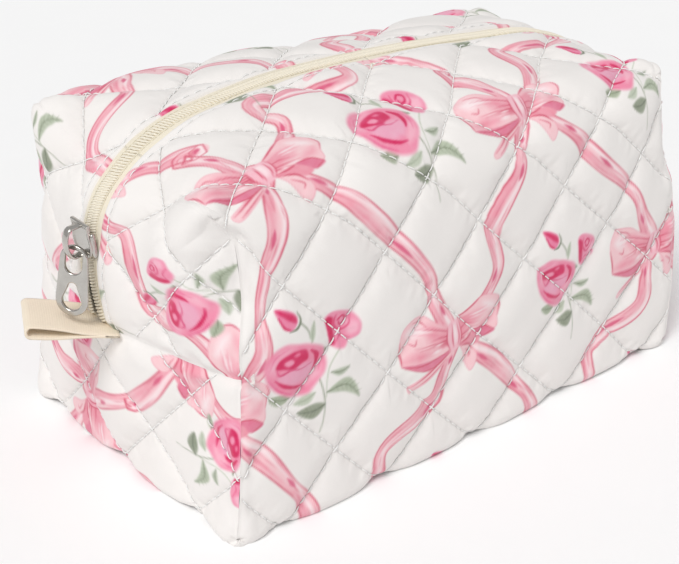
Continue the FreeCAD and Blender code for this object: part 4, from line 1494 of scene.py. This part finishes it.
# ---- ribbon tabs
TAB_WIDE, TAB_LONG, TAB_LOOP, RIBBON_THICK = 19.0, 24.0, 1.9, 0.8
TAB_SKEW, TAB_LIFT = 27.0, 10.0
TAB_SEAM = np.array([-100.0, 0.0, 54.0])


def build_tab(name, mirror, node):
    """Ribbon folded into a loop, both its ends in the end seam."""
    lap = 4.0
    long = TAB_LONG + lap
    turn = np.linspace(0, math.pi, 15)[1:-1]
    x_top = np.linspace(-lap, TAB_LONG - TAB_LOOP, 26)
    x = np.concatenate([x_top, TAB_LONG - TAB_LOOP + TAB_LOOP * np.sin(turn), x_top[::-1]])
    spread = 0.45 + (TAB_LOOP - 0.45) * smooth((x_top + lap) / long * 1.15)
    z = np.concatenate([spread, TAB_LOOP * np.cos(turn), -spread[::-1]])
    across = np.linspace(-TAB_WIDE / 2, TAB_WIDE / 2, 25)
    u, v = np.meshgrid(np.arange(len(x)), across, indexing="ij")
    x, z = x[u], z[u]
    bow = 0.5 * np.sin((v / TAB_WIDE + 0.5) * math.pi) * smooth(x / TAB_LONG)
    opened = 1 + 0.28 * (-v / TAB_WIDE) * smooth(x / TAB_LONG)
    z = z * opened + bow
    grid = np.stack([-x, v, z], -1)
    soft = 0.15 * NOISE(grid + 70, 7.0)
    along = np.gradient(grid, axis=0)
    normals = unit(np.cross(along, np.gradient(grid, axis=1)))
    normals *= np.sign((normals * [0, 0, 1])[3, 12, 2])
    grid = grid + normals * soft[..., None]
    lift = math.radians(TAB_LIFT)
    skew = -math.radians(TAB_SKEW)
    turn = np.array(Matrix.Rotation(skew, 3, "Z") @ Matrix.Rotation(lift, 3, "Y"))
    grid = TAB_SEAM + grid @ turn.T
    normals = normals @ turn.T
    if mirror:
        grid, normals = grid * (-1, 1, 1), normals * (-1, 1, 1)
    mesh = strip_solid(grid, normals, RIBBON_THICK)
    tab = mesh_object(name, *mesh, RIBBON)
    length = run_length(grid[:, 12])
    flat = np.stack([np.broadcast_to(length[:, None], v.shape), v], -1).reshape(-1, 2)
    add_flat_map(tab.data, np.concatenate([flat, flat]))
    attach(tab, "root")
    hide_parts(node)


build_tab("ribbon_tab_near", False, "near_tab")
build_tab("ribbon_tab_far", True, "far_tab")


# ---- inside: binding strips over the raw seams, and the wadding in the folds
def bound_seam(name, path, inward_way, node):
    """Folded strip of cloth along an inside seam: a flat rounded fin."""
    path = np.asarray(path, float)
    along = unit(np.gradient(path, axis=0))
    deep = unit(inward_way - (inward_way * along).sum(1, keepdims=True) * along)
    side = np.cross(along, deep)
    turn = np.linspace(0, 2 * math.pi, 20, endpoint=False)
    profile_deep = 3.2 * np.sign(np.cos(turn)) * np.abs(np.cos(turn)) ** 0.5
    profile_side = 1.0 * np.sign(np.sin(turn)) * np.abs(np.sin(turn)) ** 0.6
    waves = 0.35 * NOISE(path + 20, 5.0)
    ring = (path[:, None] + deep[:, None] * profile_deep[None, :, None]
            + side[:, None] * (profile_side[None] + waves[:, None])[..., None])
    count, sides = ring.shape[:2]
    points = np.concatenate([ring.reshape(-1, 3), path[:1], path[-1:]])
    piece = mesh_object(name, points, ring_faces(count, sides), BINDING)
    length = run_length(path)
    flat = np.stack([np.broadcast_to(length[:, None], (count, sides)),
                     np.broadcast_to(turn[None] * 2.6, (count, sides))], -1).reshape(-1, 2)
    add_flat_map(piece.data, np.concatenate([flat, flat[:1], flat[-1:]]))
    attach(piece, "root")
    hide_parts(node)


def build_bindings():
    for end, sign_x in (("near", -1), ("far", 1)):
        y = np.linspace(-36, 36, 49)
        s = -ARM_TOP + 0.6 if end == "near" else LENGTH + ARM_TOP - 0.6
        t = np.where(y < 0, HEIGHT + HALF_W + y, T_BACK_TOP - HALF_W + y)
        path = base_points(np.full(len(y), s), t)
        path[:, 0] -= sign_x * (CLOTH_THICK + 4.6)
        path[:, 2] = 52.6
        way = np.broadcast_to(np.array([-sign_x, 0.0, 0.0]), path.shape)
        bound_seam(f"seam_binding_{end}_end", path, way, f"binding_{end}_end")
        for side, sign_y in (("front", -1), ("back", 1)):
            z = np.linspace(9, 97, 45)
            s = np.full(len(z), 0.0 if end == "near" else LENGTH)
            t = z if side == "front" else T_BACK_EDGE - z
            path = base_points(s, t)
            inner = np.array([-sign_x, -sign_y, 0]) / math.sqrt(2)
            path = path + inner * (CLOTH_THICK * 1.3 + 3.0)
            way = np.broadcast_to(inner, path.shape)
            bound_seam(f"seam_binding_{end}_{side}", path, way, f"binding_{end}_{side}")


WADDING_BELOW, WADDING_DEPTH = 14.0, 2.35   # from the fold down, and in from the cloth


def build_fold_wadding():
    """Batting just below the fold that each flap turns about, between cloth and lining."""
    for side in ("front", "back"):
        x = np.linspace(-FLAP_FROM + 1, FLAP_FROM - 1, 120)
        t = np.full(len(x), HEIGHT - WADDING_BELOW if side == "front" else T_BACK_TOP + WADDING_BELOW)
        normals = outer.at(x + HALF_L, t)[1]
        path = base_points(x + HALF_L, t) - normals * WADDING_DEPTH
        points, faces = tube(path, 0.6 + 0.08 * NOISE(path + 5, 7.0), 12)
        piece = mesh_object(f"fold_wadding_{side}", points, faces, WADDING)
        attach(piece, "root")


build_bindings()
build_fold_wadding()


# ---- camera, light and floor
def point_at(obj, way):
    """Turns a light or the camera to face along a direction."""
    obj.rotation_euler = Vector(way).to_track_quat("-Z", "Y").to_euler()


def add_lights():
    """A broad soft sun from the left, and a weak fill from the right."""
    sun = bpy.data.lights.new("key", "SUN")
    sun.energy = 1.75
    sun.angle = 0.45
    point_at(add_object("key", sun), (0.62, 0.3, -0.95))
    area = bpy.data.lights.new("fill", "AREA")
    area.shape = "RECTANGLE"
    area.size, area.size_y = 0.9, 0.6
    area.energy = 0.3
    fill = add_object("fill", area)
    fill.location = (0.5, -0.9, 0.6)
    point_at(fill, (-0.5, 0.9, -0.55))


def set_stage():
    floor_nodes = Nodes("pale_floor")
    place = floor_nodes.add("ShaderNodeTexCoord").outputs["Object"]
    grain = floor_nodes.noise(place, 40.0)
    floor_nodes.link(floor_nodes.mix(grain, (0.955, 0.955, 0.955), (0.97, 0.97, 0.97)), "Base Color")
    floor_nodes.shader.inputs["Roughness"].default_value = 0.9
    floor_nodes.shader.inputs["Specular IOR Level"].default_value = 0.1
    size = 6000.0
    corners = [(-size, -size, 0), (size, -size, 0), (size, size, 0), (-size, size, 0)]
    floor = mesh_object("floor", corners, [(0, 1, 2, 3)], floor_nodes.material)

    world = bpy.data.worlds.new("soft_white")
    bpy.context.scene.world = world
    world.use_nodes = True
    world.node_tree.nodes["Background"].inputs[0].default_value = (1.0, 1.0, 1.0, 1)
    world.node_tree.nodes["Background"].inputs[1].default_value = 0.5
    add_lights()
    bpy.context.scene.view_settings.view_transform = "Standard"


def set_camera():
    data = bpy.data.cameras.new("camera")
    camera = add_object("camera", data)
    camera.location = Vector((-336.4, -398.2, 311.7)) * MM
    aim = Vector((-23.0, -18.0, 48.6)) * MM
    point_at(camera, aim - camera.location)
    data.sensor_width = 36.0
    data.lens = 92.8
    data.clip_start = 0.01
    bpy.context.scene.camera = camera


set_stage()
set_camera()
